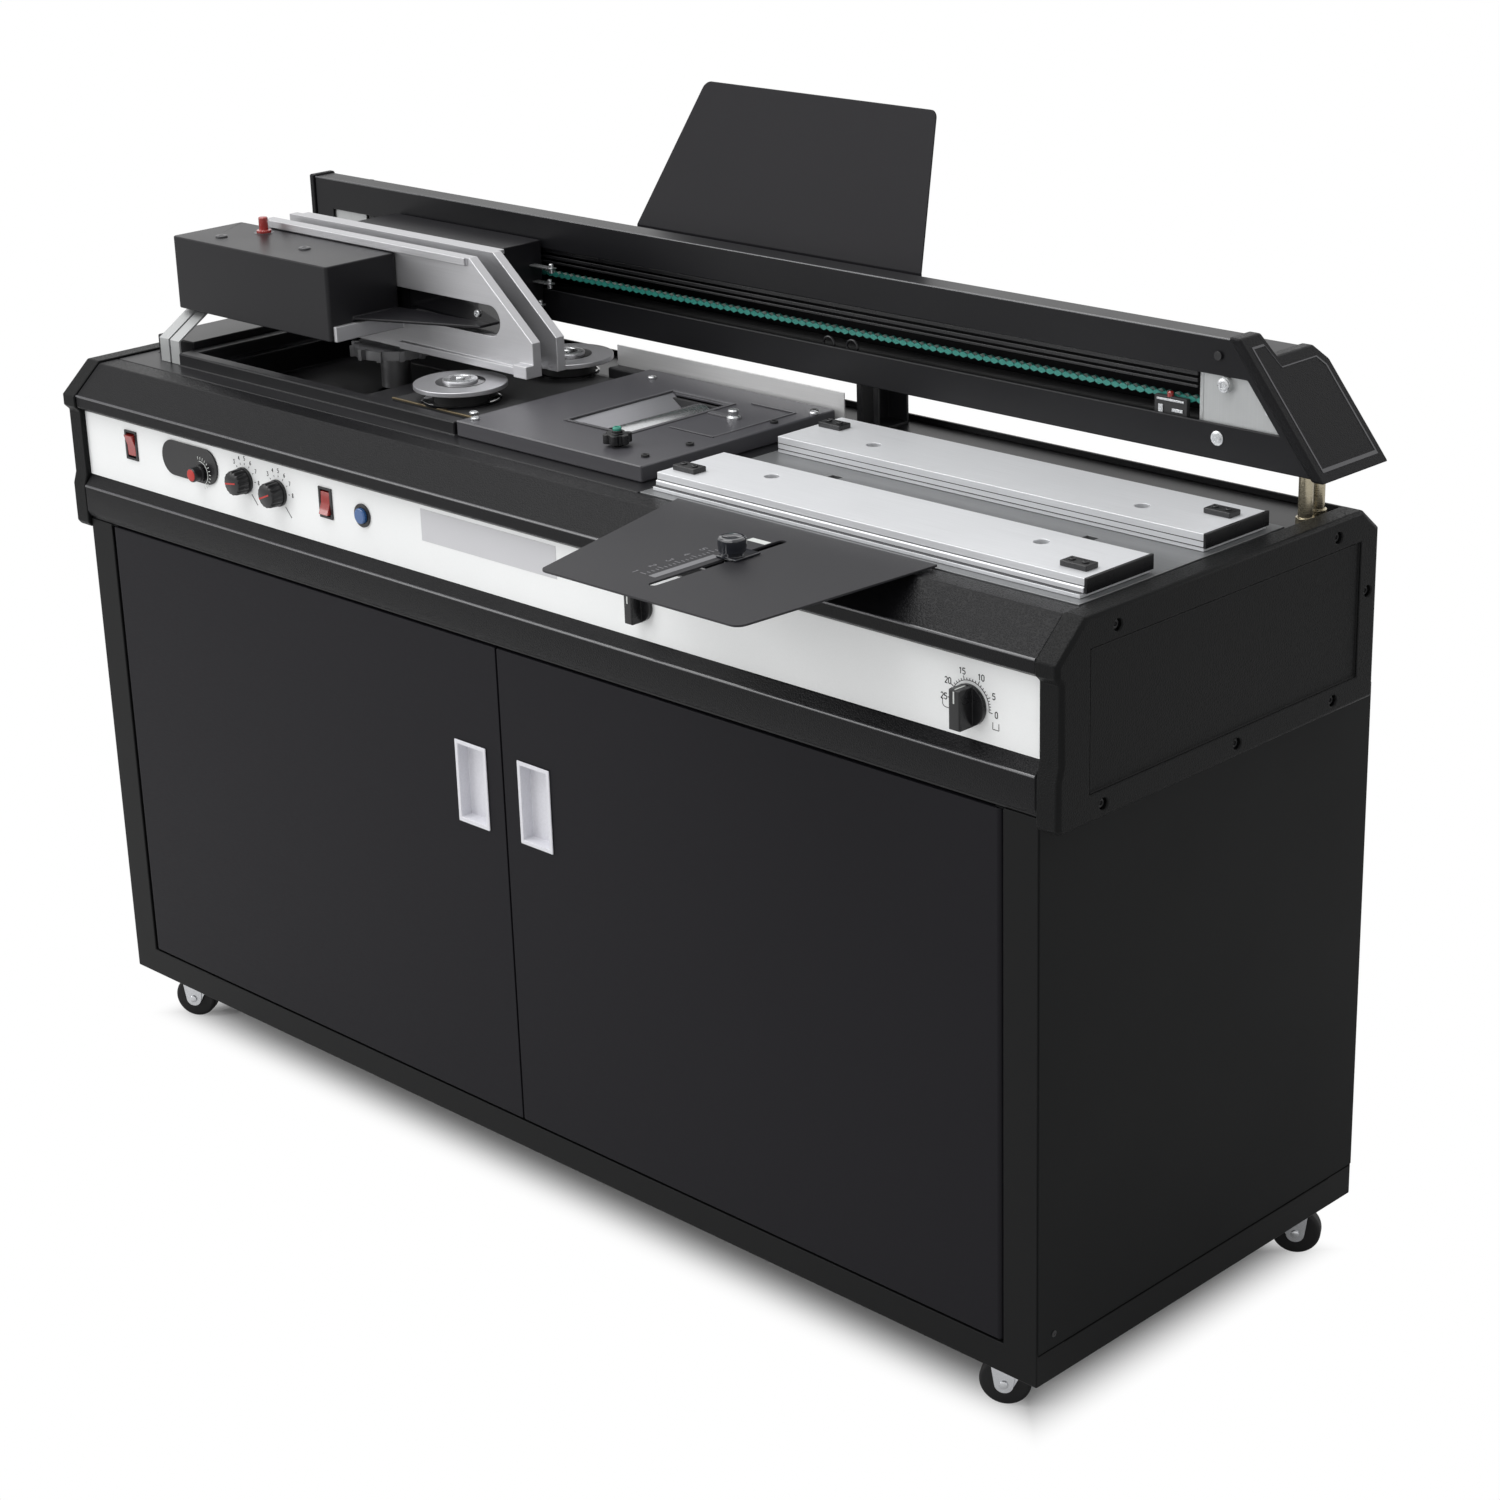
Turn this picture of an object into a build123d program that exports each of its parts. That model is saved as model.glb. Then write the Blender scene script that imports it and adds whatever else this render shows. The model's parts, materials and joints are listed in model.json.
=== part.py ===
from build123d import *

import os

# Floor-standing perfect binding machine: a cabinet on casters that carries a glue-binding
# bed, a book-clamp carriage on a rail beam, a nip, a front cover tray and a rear paper tray.
#
# Frame: +X to the right along the front, +Y to the back, +Z up, origin on the floor under the
# centre of the cabinet.  All sizes are millimetres.

os.makedirs("parts", exist_ok=True)

# ---------------------------------------------------------------- driving dimensions
# Cabinet
cabinet_length = 1340
cabinet_depth = 470
cabinet_bottom = 62
cabinet_top = 597
# Places along the bed follow the cabinet's length, and places across it follow its depth
along = cabinet_length / 1340
across = cabinet_depth / 470
post_width = 38
plinth_height = 30
sheet = 1.5
panel_sheet = 2
door_thickness = 18
door_gap = 2
door_pin_radius = 2
door_pin_inset = 5
handle_width = 46
handle_height = 86
handle_depth = 13
handle_wall = 1.5
handle_flange = 1.5
handle_from_seam = 46
handle_centre_z = 444

# Casters
wheel_radius = 24
wheel_width = 17
caster_trail = 13
caster_inset_x = 60
caster_inset_y = 50
rear_caster_inset_x = 48
rear_caster_inset_y = 40
caster_plate_size = 46
caster_plate_thickness = 2.5
caster_stem_radius = 5
caster_headings = {"front": 30, "rear": 210}

# Machine bed
bed_top = 764
cap_thickness = 24
cap_skirt = 10
shell = 3
panel_bottom = 646
panel_top = 716
panel_setback = 6
moulding_reach = 4
slope_bottom = 734
slope_depth = 34
cover_top_depth = 24
rear_deck_top = 752
rear_deck_front = 105 * across
rear_wall_top = 758
bed_setback = 35 * across

# Working line of the book block
book_face_y = -3
plate_thickness = 11
jaw_gap = 21
nip_gap = 72 * across

# Trough and trim at the left of the bed
trim_left = -588 * along
trim_right = -134 * along
trim_height = 14
trim_rim = 16
trough_left = -560 * along
trough_right = -332 * along
trough_floor = 735

# Side discs and cutter
disc_radius = 48 * across
disc_thickness = 5
disc_front_gap = 10.5
disc_rear_gap = 39.5
disc_x = -224 * along
disc_z = 782
disc_hub_radius = 18
disc_hub_height = 3
disc_shaft_radius = 5
disc_housing_step = 20 * across
cutter_x = -400 * along
cutter_radius = 43
cutter_top = 790
cutter_thickness = 10
cutter_shaft_radius = 7

# Glue tank
tank_left = -130 * along
tank_right = 132 * along
tank_cover_top = 780
tank_cover_lip = 16
window_left = -44 * along
window_right = 38 * along
window_front = -88 * across
window_rear = 52 * across
roller_x = 4 * along
roller_radius = 22
roller_drop = 3
roller_length = 116 * across
tank_wall = 4
star_knob_x = 62 * along
star_knob_y = -122 * across
star_knob_radius = 14
star_knob_height = 15
star_stem_radius = 3

# Nip
nip_left = 156 * along
nip_right = 656 * along
nip_plate_top = 764
nip_plate_thickness = 8
nip_plate_left = 150 * along
nip_plate_right = 664 * along
nip_bar_height = 16
front_bar_width = 92 * across
rear_bar_width = 88 * across
nip_lug_width = 12
nip_lug_length = 16
nip_travel = 70 * across

# Rail beam
beam_left = -685 * along
beam_right_top = 592 * along
beam_right_bottom = 680 * along
beam_front = 115 * across
beam_depth = 95 * across
beam_lip_width = 27 * across
beam_bottom = 805
beam_top = 915
beam_shoulder = 896
beam_wall = 3
slot_bottom = 838
slot_top = 881
slot_left = -655 * along
slot_end_margin = 9
guide_radius = 7
upper_guide = (beam_front + 0.37 * beam_depth, 880)
lower_guide = (beam_front + 0.6 * beam_depth, 822)
sprocket_z = 874
sprocket_radius = 18
sprocket_width = 5
sprocket_teeth = 16
chain_y = 128 * across
drive_sprocket_x = 587 * along
idler_sprocket_x = -630 * along
chain_width = 8
chain_half_height = 3.2
bracket_left = 562 * along

# Carriage
housing_left = -540 * along
housing_right = -300 * along
housing_front = 8
housing_rear = 112 * across
housing_bottom = 803
housing_top = 891
box_left = -624 * along
box_right = -360 * along
box_front = -127 * across
box_wall = 2.5
box_bottom = 817
box_top = 895
jaw_left = -580 * along
jaw_right_top = -243 * along
jaw_right_bottom = -153 * along
jaw_bottom = 794
jaw_shoulder = 829
jaw_top = 904
rod_radius = 6
rod_z = 872
rod_xs = (-520 * along, -392 * along)
rod_reach = 45
release_knob_x = -556 * along
release_knob_y = -56 * across
release_knob_radius = 5
release_knob_height = 17

# Straps that the clamp box rests over when it is parked
strap_places = (box_left, box_left + 19)
strap_width = 16
strap_sheet = 2.5
strap_front = -153 * across
strap_rise = 26
strap_lean = 40
strap_rest = 12
strap_foot = 12

# Trays
tray_sheet = 2
front_tray_rear = -180 * across
front_tray_front = -402 * across
front_tray_rear_x = (202 * along, 514 * along)
front_tray_front_x = (264 * along, 500 * along)
front_tray_lift = 2
tray_slot_x = 368 * along
tray_slot_rear = -212 * across
tray_slot_front = -372 * across
tray_slot_width = 8
stop_knob_y = -276 * across
rear_tray_centre = -54 * along
rear_tray_width = 404 * along
rear_tray_top_width = 324 * along
rear_tray_bottom = 815
rear_tray_bend = 897
rear_tray_top = 1042
rear_tray_lean = 70
rear_tray_corner = 10

# Fits
deck_margin = 3
trim_margin = 23
door_swing_gap = 1.2
running_fit = 0.05
slide_fit = 0.3

# ---------------------------------------------------------------- derived places
left = -cabinet_length / 2
right = cabinet_length / 2
front = -cabinet_depth / 2
rear = cabinet_depth / 2
bed_rear = rear - bed_setback
plinth_top = cabinet_bottom + plinth_height
panel_face = front + panel_setback
floor_top = cabinet_top + shell
front_jaw_rear = book_face_y - jaw_gap
book_centre_y = book_face_y - jaw_gap / 2
disc_front_y = book_centre_y - disc_front_gap - disc_radius
disc_rear_y = book_centre_y + disc_rear_gap + disc_radius
cover_top_rear = front + slope_depth - moulding_reach + cover_top_depth
nip_plate_front = cover_top_rear + deck_margin
nip_plate_rear = rear_deck_front - deck_margin - 1
trim_front = cover_top_rear + trim_margin
trim_rear = rear_deck_front - deck_margin
beam_rear = beam_front + beam_depth
beam_lean = (beam_right_bottom - beam_right_top) / (beam_top - beam_bottom)


# ---------------------------------------------------------------- shape helpers
def block(x, y, z, mode=Mode.ADD):
    """Box between the pairs x, y and z of (low, high) values."""
    centre = ((x[0] + x[1]) / 2, (y[0] + y[1]) / 2, (z[0] + z[1]) / 2)
    with Locations(centre):
        Box(x[1] - x[0], y[1] - y[0], z[1] - z[0], mode=mode)


def rod_z_axis(x, y, z, radius, mode=Mode.ADD):
    """Upright cylinder from z[0] to z[1]."""
    with Locations((x, y, (z[0] + z[1]) / 2)):
        Cylinder(radius, z[1] - z[0], mode=mode)


def rod_y_axis(x, y, z, radius, mode=Mode.ADD):
    """Cylinder along Y from y[0] to y[1]."""
    with Locations(Location((x, (y[0] + y[1]) / 2, z), (90, 0, 0))):
        Cylinder(radius, y[1] - y[0], mode=mode)


def rod_x_axis(x, y, z, radius, mode=Mode.ADD):
    """Cylinder along X from x[0] to x[1]."""
    with Locations(Location(((x[0] + x[1]) / 2, y, z), (0, 90, 0))):
        Cylinder(radius, x[1] - x[0], mode=mode)


def prism_along_x(outline, x, mode=Mode.ADD):
    """Prism of a (y, z) outline between x[0] and x[1]."""
    with BuildSketch(Plane.YZ.offset(x[0])) as profile:
        with BuildLine():
            Polyline(*outline, close=True)
        make_face()
    extrude(profile.sketch, amount=x[1] - x[0], mode=mode)


def prism_along_y(outline, y, mode=Mode.ADD):
    """Prism of an (x, z) outline between y[0] and y[1]."""
    with BuildSketch(Plane.XZ.offset(-y[1])) as profile:
        with BuildLine():
            Polyline(*outline, close=True)
        make_face()
    extrude(profile.sketch, amount=y[1] - y[0], mode=mode)


def prism_along_z(outline, z, mode=Mode.ADD):
    """Prism of an (x, y) outline between z[0] and z[1]."""
    with BuildSketch(Plane.XY.offset(z[0])) as profile:
        with BuildLine():
            Polyline(*outline, close=True)
        make_face()
    extrude(profile.sketch, amount=z[1] - z[0], mode=mode)


def upright_edges():
    """Vertical edges of the part being built."""
    return edges().filter_by(Axis.Z)


# ---------------------------------------------------------------- cabinet
inner_left = left + post_width
inner_right = right - post_width
inner_front = front + post_width
inner_rear = rear - post_width
top_rail_height = 22
door_bottom = plinth_top + door_gap
door_top = cabinet_top - door_gap
door_outer = inner_right - door_gap
door_seam = door_gap / 2
door_axis_x = door_outer - door_pin_inset
door_axis_y = front + door_pin_inset
door_back = front + door_thickness

with BuildPart() as cabinet_frame:
    block((left, right), (front, rear), (cabinet_bottom, plinth_top))
    block((inner_left, inner_right), (inner_front, inner_rear), (cabinet_bottom, plinth_top), Mode.SUBTRACT)
    for x in ((left, inner_left), (inner_right, right)):
        for y in ((front, inner_front), (inner_rear, rear)):
            block(x, y, (plinth_top, cabinet_top))
    for y in ((door_back + door_swing_gap, inner_front), (inner_rear, rear)):
        block((inner_left, inner_right), y, (cabinet_top - top_rail_height, cabinet_top))
    for x in ((left, inner_left), (inner_right, right)):
        block(x, (inner_front, inner_rear), (cabinet_top - top_rail_height, cabinet_top))
    for x in (-door_axis_x, door_axis_x):
        rod_z_axis(x, door_axis_y, (plinth_top, door_bottom + 2 * sheet), door_pin_radius)
    for side in (-1, 1):
        ear = sorted((side * (door_axis_x - 3), side * inner_right))
        ear_z = (door_top + running_fit, cabinet_top)
        block(ear, (front + 1.5, inner_front), ear_z)
        rail_y = (door_back + door_swing_gap, inner_front)
        block(ear, rail_y, (cabinet_top - top_rail_height, cabinet_top))
        rod_z_axis(side * door_axis_x, door_axis_y, (door_top - 2 * sheet, cabinet_top), door_pin_radius)
cabinet_frame.part.label = "cabinet_frame"
export_step(cabinet_frame.part, "parts/cabinet_frame.step")

with BuildPart() as cabinet_panels:
    for x in ((left + 4, left + 4 + panel_sheet), (right - 4 - panel_sheet, right - 4)):
        block(x, (inner_front, inner_rear), (plinth_top, cabinet_top - top_rail_height))
    back_y = (rear - 4 - panel_sheet, rear - 4)
    block((inner_left, inner_right), back_y, (plinth_top, cabinet_top - top_rail_height))
    floor_z = (cabinet_bottom, cabinet_bottom + panel_sheet)
    block((inner_left, inner_right), (inner_front, inner_rear), floor_z)
cabinet_panels.part.label = "cabinet_panels"
export_step(cabinet_panels.part, "parts/cabinet_panels.step")


def build_door(side):
    """Folded sheet door; side is -1 for the left door and 1 for the right one."""
    inner, outer = door_seam, door_outer
    with BuildPart() as door:
        block((inner, outer), (front, door_back), (door_bottom, door_top))
        corner = edges().filter_by(Axis.Z).sort_by(Axis.X)[-2:].sort_by(Axis.Y)[0]
        fillet(corner, door_pin_inset)
        pan_x = (inner + sheet, outer - 2 * door_pin_inset)
        block(pan_x, (front + sheet, door_back), (door_bottom + sheet, door_top - sheet), Mode.SUBTRACT)
        cup_x = (handle_from_seam - handle_width / 2 + 3, handle_from_seam + handle_width / 2 - 3)
        cup_z = (handle_centre_z - handle_height / 2 + 3, handle_centre_z + handle_height / 2 - 3)
        block(cup_x, (front - 1, front + sheet + 1), cup_z, Mode.SUBTRACT)
        pin_depth = 2 * sheet + slide_fit
        for z in ((door_bottom - 1, door_bottom + pin_depth), (door_top - pin_depth, door_top + 1)):
            rod_z_axis(door_axis_x, door_axis_y, z, door_pin_radius + running_fit, Mode.SUBTRACT)
        if side < 0:
            mirror(door.part, about=Plane.YZ, mode=Mode.REPLACE)
    return door


def build_handle(side):
    """Recessed pull: a flanged cup that fills the cut-out of the door."""
    x0 = handle_from_seam - handle_width / 2
    x1 = handle_from_seam + handle_width / 2
    z0 = handle_centre_z - handle_height / 2
    z1 = handle_centre_z + handle_height / 2
    with BuildPart() as handle:
        block((x0, x1), (front - handle_flange, front), (z0, z1))
        block((x0 + 3, x1 - 3), (front, front + handle_depth), (z0 + 3, z1 - 3))
        wall = 3 + handle_wall
        cup = (front - handle_flange - 1, front + handle_depth - handle_wall)
        block((x0 + wall, x1 - wall), cup, (z0 + wall, z1 - wall), Mode.SUBTRACT)
        if side < 0:
            mirror(handle.part, about=Plane.YZ, mode=Mode.REPLACE)
    return handle


for side, name in ((-1, "left"), (1, "right")):
    door = build_door(side)
    door.part.label = f"{name}_door"
    export_step(door.part, f"parts/{name}_door.step")
    handle = build_handle(side)
    handle.part.label = f"{name}_handle"
    export_step(handle.part, f"parts/{name}_handle.step")

# ---------------------------------------------------------------- casters
fork_sheet = 2
fork_inner = wheel_width / 2 + 1.2
race_height = 6
race_radius = 13
fork_half = 12
hub_radius = 8
tyre_round = 4
plate_bottom = cabinet_bottom - caster_plate_thickness
race_bottom = plate_bottom - race_height
axle_radius = 3
caster_places = {
    "front_left": (left + caster_inset_x, front + caster_inset_y),
    "front_right": (right - caster_inset_x, front + caster_inset_y),
    "rear_left": (left + rear_caster_inset_x, rear - rear_caster_inset_y),
    "rear_right": (right - rear_caster_inset_x, rear - rear_caster_inset_y),
}


def build_fork():
    """Swivel fork with its axle: a bridge, two cheeks and the axle trail behind the stem."""
    wheel_at = -caster_trail
    outer = fork_inner + fork_sheet
    cheek = [
        (-fork_half, race_bottom),
        (fork_half, race_bottom),
        (wheel_at + 7, wheel_radius - 6),
        (wheel_at - 7, wheel_radius - 6),
    ]
    with BuildPart() as fork:
        block((-fork_half - 4, fork_half + 2), (-outer, outer), (race_bottom - fork_sheet, race_bottom))
        for y in ((-outer, -fork_inner), (fork_inner, outer)):
            prism_along_y(cheek, y)
        rod_z_axis(0, 0, (race_bottom, plate_bottom - running_fit), race_radius)
        rod_z_axis(0, 0, (plate_bottom - 1, cabinet_bottom - slide_fit), caster_stem_radius)
        rod_y_axis(wheel_at, (-outer - 2, outer + 2), wheel_radius, axle_radius)
    return fork


def build_wheel():
    """Wheel with its bore on the axle line."""
    with BuildPart() as wheel:
        rod_y_axis(-caster_trail, (-wheel_width / 2, wheel_width / 2), wheel_radius, wheel_radius)
        fillet(wheel.edges().filter_by(GeomType.CIRCLE), tyre_round)
        hub_half = fork_inner - slide_fit
        rod_y_axis(-caster_trail, (-hub_half, hub_half), wheel_radius, hub_radius)
        bore = (-hub_half - 1, hub_half + 1)
        rod_y_axis(-caster_trail, bore, wheel_radius, axle_radius + running_fit, Mode.SUBTRACT)
    return wheel


for name, (x, y) in caster_places.items():
    spot = Location((x, y, 0), (0, 0, caster_headings[name.split("_")[0]]))
    fork = build_fork().part.moved(spot)
    fork.label = f"caster_fork_{name}"
    export_step(fork, f"parts/caster_fork_{name}.step")
    wheel = build_wheel().part.moved(spot)
    wheel.label = f"caster_wheel_{name}"
    export_step(wheel, f"parts/caster_wheel_{name}.step")

strap_outline = [
    (strap_front - strap_sheet, bed_top),
    (strap_front - strap_sheet, bed_top + strap_rise),
    (strap_front + strap_lean, box_bottom - slide_fit),
    (strap_front + strap_lean + strap_rest, box_bottom - slide_fit),
    (strap_front + strap_lean + strap_rest, box_bottom - slide_fit - strap_sheet),
    (strap_front + strap_lean + 1, box_bottom - slide_fit - strap_sheet),
    (strap_front, bed_top + strap_rise - 1),
    (strap_front, bed_top + strap_sheet),
    (strap_front + strap_foot, bed_top + strap_sheet),
    (strap_front + strap_foot, bed_top),
]
with BuildPart() as mounting_hardware:
    for x, y in caster_places.values():
        half = caster_plate_size / 2
        block((x - half, x + half), (y - half, y + half), (plate_bottom, cabinet_bottom))
        stem_hole = (plate_bottom - 1, cabinet_bottom + 1)
        rod_z_axis(x, y, stem_hole, caster_stem_radius + running_fit, Mode.SUBTRACT)
    for x in strap_places:
        prism_along_x(strap_outline, (x, x + strap_width))
mounting_hardware.part.label = "mounting_hardware"
export_step(mounting_hardware.part, "parts/mounting_hardware.step")

# ---------------------------------------------------------------- bed casing
nose = front - moulding_reach
slope_top_y = nose + slope_depth

chip_hole = 140
inlet_x = (-577 * along, -577 * along + 22)
inlet_z = (631, 647)
with BuildPart() as chassis_pan:
    block((left, right), (front + 2, rear), (cabinet_top, floor_top))
    chip_x = (cutter_x - chip_hole / 2, cutter_x + chip_hole / 2)
    chip_y = (book_centre_y - chip_hole / 2, book_centre_y + chip_hole / 2)
    block(chip_x, chip_y, (cabinet_top - 1, floor_top + 1), Mode.SUBTRACT)
    block((left, right), (bed_rear - shell, bed_rear), (floor_top, rear_wall_top))
    block(inlet_x, (bed_rear - shell - 1, bed_rear + 1), inlet_z, Mode.SUBTRACT)
chassis_pan.part.label = "chassis_pan"
export_step(chassis_pan.part, "parts/chassis_pan.step")

moulding_outline = [
    (panel_face + shell, floor_top),
    (nose + 3, floor_top),
    (nose, floor_top + 7),
    (nose, panel_bottom - 12),
    (panel_face, panel_bottom),
    (panel_face + shell, panel_bottom),
]
# Control places on the panel: (x, z)
rocker_width = 14
rocker_height = 25
rocker_depth = 12
power_rocker_at = (-586 * along, 692)
mode_rocker_at = (-254 * along, 690)
window_at = (-481 * along, 692)
window_size = (96, 38)
temperature_at = (-462 * along, 684)
pressure_at = (-388 * along, 689)
time_at = (-332 * along, 686)
start_at = (-196 * along, 688)
cover_knob_at = (200 * along, 680)
spine_knob_at = (592 * along, 676)
shaft_radius = 3
button_radius = 8
bezel = 2
knob_places = (temperature_at, pressure_at, time_at, cover_knob_at, spine_knob_at)
panel_rear = panel_face + shell

with BuildPart() as control_panel:
    block((left, right), (panel_face, panel_rear), (panel_bottom, panel_top))
    for x, z in knob_places:
        rod_y_axis(x, (panel_face - 1, panel_rear + 1), z, shaft_radius + running_fit, Mode.SUBTRACT)
    for x, z in (power_rocker_at, mode_rocker_at):
        cut_x = (x - rocker_width / 2 - bezel, x + rocker_width / 2 + bezel)
        cut_z = (z - rocker_height / 2 - bezel, z + rocker_height / 2 + bezel)
        block(cut_x, (panel_face - 1, panel_rear + 1), cut_z, Mode.SUBTRACT)
    through = (panel_face - 1, panel_rear + 1)
    rod_y_axis(start_at[0], through, start_at[1], button_radius + bezel, Mode.SUBTRACT)
control_panel.part.label = "control_panel"
export_step(control_panel.part, "parts/control_panel.step")

with BuildPart() as panel_bezels:
    for x, z in (power_rocker_at, mode_rocker_at):
        half_x, half_z = rocker_width / 2, rocker_height / 2
        rim = bezel + 1.5
        rim_z = (z - half_z - rim, z + half_z + rim)
        block((x - half_x - rim, x + half_x + rim), (panel_face - 1.5, panel_face), rim_z)
        well_x = (x - half_x - bezel, x + half_x + bezel)
        well_z = (z - half_z - bezel, z + half_z + bezel)
        block(well_x, (panel_face, panel_face + rocker_depth + 4), well_z)
        gap_x = (x - half_x - slide_fit, x + half_x + slide_fit)
        gap_z = (z - half_z - 1, z + half_z + 1)
        block(gap_x, (panel_face - 3, panel_face + rocker_depth), gap_z, Mode.SUBTRACT)
        pin = (x - half_x - bezel + 0.3, x + half_x + bezel - 0.3)
        rod_x_axis(pin, panel_face + 4, z, 1.5 + running_fit, Mode.SUBTRACT)
    window = Plane.XZ.offset(-panel_face)
    with BuildSketch(window) as oval:
        with Locations(window_at):
            SlotOverall(window_size[0], window_size[1])
        with Locations(temperature_at):
            Circle(shaft_radius + running_fit, mode=Mode.SUBTRACT)
    extrude(oval.sketch, amount=bezel)
    rod_y_axis(start_at[0], (panel_face - bezel, panel_face), start_at[1], button_radius + 2 * bezel)
    rod_y_axis(start_at[0], (panel_face, panel_face + 14), start_at[1], button_radius + bezel)
    well = (panel_face - 3, panel_face + 11)
    rod_y_axis(start_at[0], well, start_at[1], button_radius + running_fit, Mode.SUBTRACT)
    inlet_flange_x = (inlet_x[0] - 6, inlet_x[1] + 6)
    block(inlet_flange_x, (bed_rear, bed_rear + 3), (inlet_z[0] - 3, inlet_z[1] + 3))
    block(inlet_x, (bed_rear - 22, bed_rear), inlet_z)
    socket_x = (inlet_x[0] + 2, inlet_x[1] - 2)
    block(socket_x, (bed_rear - 18, bed_rear + 4), (inlet_z[0] + 2, inlet_z[1] - 2), Mode.SUBTRACT)
panel_bezels.part.label = "panel_bezels"
export_step(panel_bezels.part, "parts/panel_bezels.step")


def build_rocker(x, z, up):
    """Rocker with a shallow V face on two stub pins; up is 1 if its top stands out at rest, or -1."""
    half = up * rocker_height / 2
    axis_y = panel_face + 4
    face = panel_face - 2.5
    with BuildPart() as rocker:
        outline = [
            (face - 3, z + half - up),
            (face + 1, z),
            (face + 1.5, z - half + up),
            (axis_y + 2, z - half + up),
            (axis_y + 5, z),
            (axis_y + 2, z + half - up),
        ]
        prism_along_x(outline, (x - rocker_width / 2, x + rocker_width / 2))
        reach = rocker_width / 2 + bezel - 0.5
        rod_x_axis((x - reach, x + reach), axis_y, z, 1.5)
    return rocker


for name, place, up in (("power", power_rocker_at, 1), ("mode", mode_rocker_at, -1)):
    rocker = build_rocker(*place, up)
    rocker.part.label = f"{name}_rocker"
    export_step(rocker.part, f"parts/{name}_rocker.step")

with BuildPart() as start_button:
    out = (panel_face - bezel - 3.5, panel_face + 7)
    rod_y_axis(start_at[0], out, start_at[1], button_radius)
    fillet(start_button.faces().sort_by(Axis.Y)[0].edges(), 1.5)
start_button.part.label = "start_button"
export_step(start_button.part, "parts/start_button.step")


def build_knob(place, radius, depth, seat_y):
    """Round skirted control knob on a shaft through the panel; the pointer rib points up."""
    x, z = place
    base = seat_y - slide_fit
    with BuildPart() as knob:
        rod_y_axis(x, (base - 3, base), z, radius)
        rod_y_axis(x, (base - depth, base - 3), z, radius * 0.84)
        fillet(knob.faces().sort_by(Axis.Y)[0].edges(), 1.2)
        rod_y_axis(x, (base - 1, panel_rear + 10), z, shaft_radius)
    return knob


def build_pointer_knob(place, radius, depth, grip_half):
    """Skirted knob whose grip is a bar across the skirt."""
    x, z = place
    base = panel_face - slide_fit
    with BuildPart() as knob:
        rod_y_axis(x, (base - 4, base), z, radius)
        grip_z = (z - radius * 0.98, z + radius * 0.98)
        block((x - grip_half, x + grip_half), (base - depth, base - 3), grip_z)
        fillet(knob.faces().sort_by(Axis.Y)[0].edges(), 1.5)
        rod_y_axis(x, (base - 1, panel_rear + 10), z, shaft_radius)
    return knob


knobs = {
    "temperature_knob": build_knob(temperature_at, 9, 12, panel_face - bezel),
    "pressure_knob": build_knob(pressure_at, 14, 17, panel_face),
    "time_knob": build_knob(time_at, 14, 17, panel_face),
    "cover_knob": build_pointer_knob(cover_knob_at, 16, 16, 5),
    "spine_knob": build_pointer_knob(spine_knob_at, 18, 20, 6),
}
for name, knob in knobs.items():
    knob.part.label = name
    export_step(knob.part, f"parts/{name}.step")

cover_outline = [
    (panel_rear, panel_top),
    (panel_face, panel_top),
    (nose, panel_top + 6),
    (nose, slope_bottom),
    (slope_top_y, bed_top),
    (cover_top_rear, bed_top),
    (cover_top_rear, bed_top - shell),
    (slope_top_y + 1, bed_top - shell),
    (nose + shell, slope_bottom - 1),
    (nose + shell, panel_top + 7),
    (panel_rear, panel_top + 4),
]
with BuildPart() as front_mouldings:
    prism_along_x(moulding_outline, (left, right))
    prism_along_x(cover_outline, (left, right))
front_mouldings.part.label = "front_mouldings"
export_step(front_mouldings.part, "parts/front_mouldings.step")

cap_bottom = cabinet_top - cap_skirt
cap_outline = [
    (front, cap_bottom),
    (nose, cap_bottom + 5),
    (nose, panel_bottom - 12),
    (front, panel_bottom),
    (front, panel_top),
    (nose - 2, panel_top + 6),
    (nose - 2, slope_bottom),
    (slope_top_y, bed_top + 2),
    (bed_rear - 22, bed_top + 2),
    (bed_rear + 2, bed_top - 18),
    (bed_rear + 2, cap_bottom),
]
cap_inset = 26
cap_inset_depth = 2


def build_end_cap(side):
    """Moulded end cap: a thick shell open towards the bed, with a sunk outer field."""
    inner = right + running_fit
    outer = right + cap_thickness
    field = [
        (slope_top_y + 6, cap_bottom + cap_inset),
        (slope_top_y + 6, bed_top - cap_inset),
        (bed_rear - cap_inset, bed_top - cap_inset),
        (bed_rear - cap_inset, cap_bottom + cap_inset),
    ]
    hollow = [
        (front + 6, floor_top + 4),
        (front + 6, panel_bottom - 16),
        (front + 10, panel_top + 6),
        (slope_top_y + 3, bed_top - 5),
        (bed_rear - 24, bed_top - 5),
        (bed_rear - 5, bed_top - 22),
        (bed_rear - 5, floor_top + 4),
    ]
    with BuildPart() as cap:
        prism_along_x(cap_outline, (inner, outer))
        chamfer(cap.faces().sort_by(Axis.X)[-1].edges(), 3)
        prism_along_x(hollow, (inner - 1, outer - 8), Mode.SUBTRACT)
        prism_along_x(field, (outer - cap_inset_depth, outer + 1), Mode.SUBTRACT)
        for y, z in cap_screw_places:
            rod_x_axis((outer - 6, outer + 1), y, z, cap_screw_radius + 1, Mode.SUBTRACT)
        if side < 0:
            mirror(cap.part, about=Plane.YZ, mode=Mode.REPLACE)
    return cap


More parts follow.
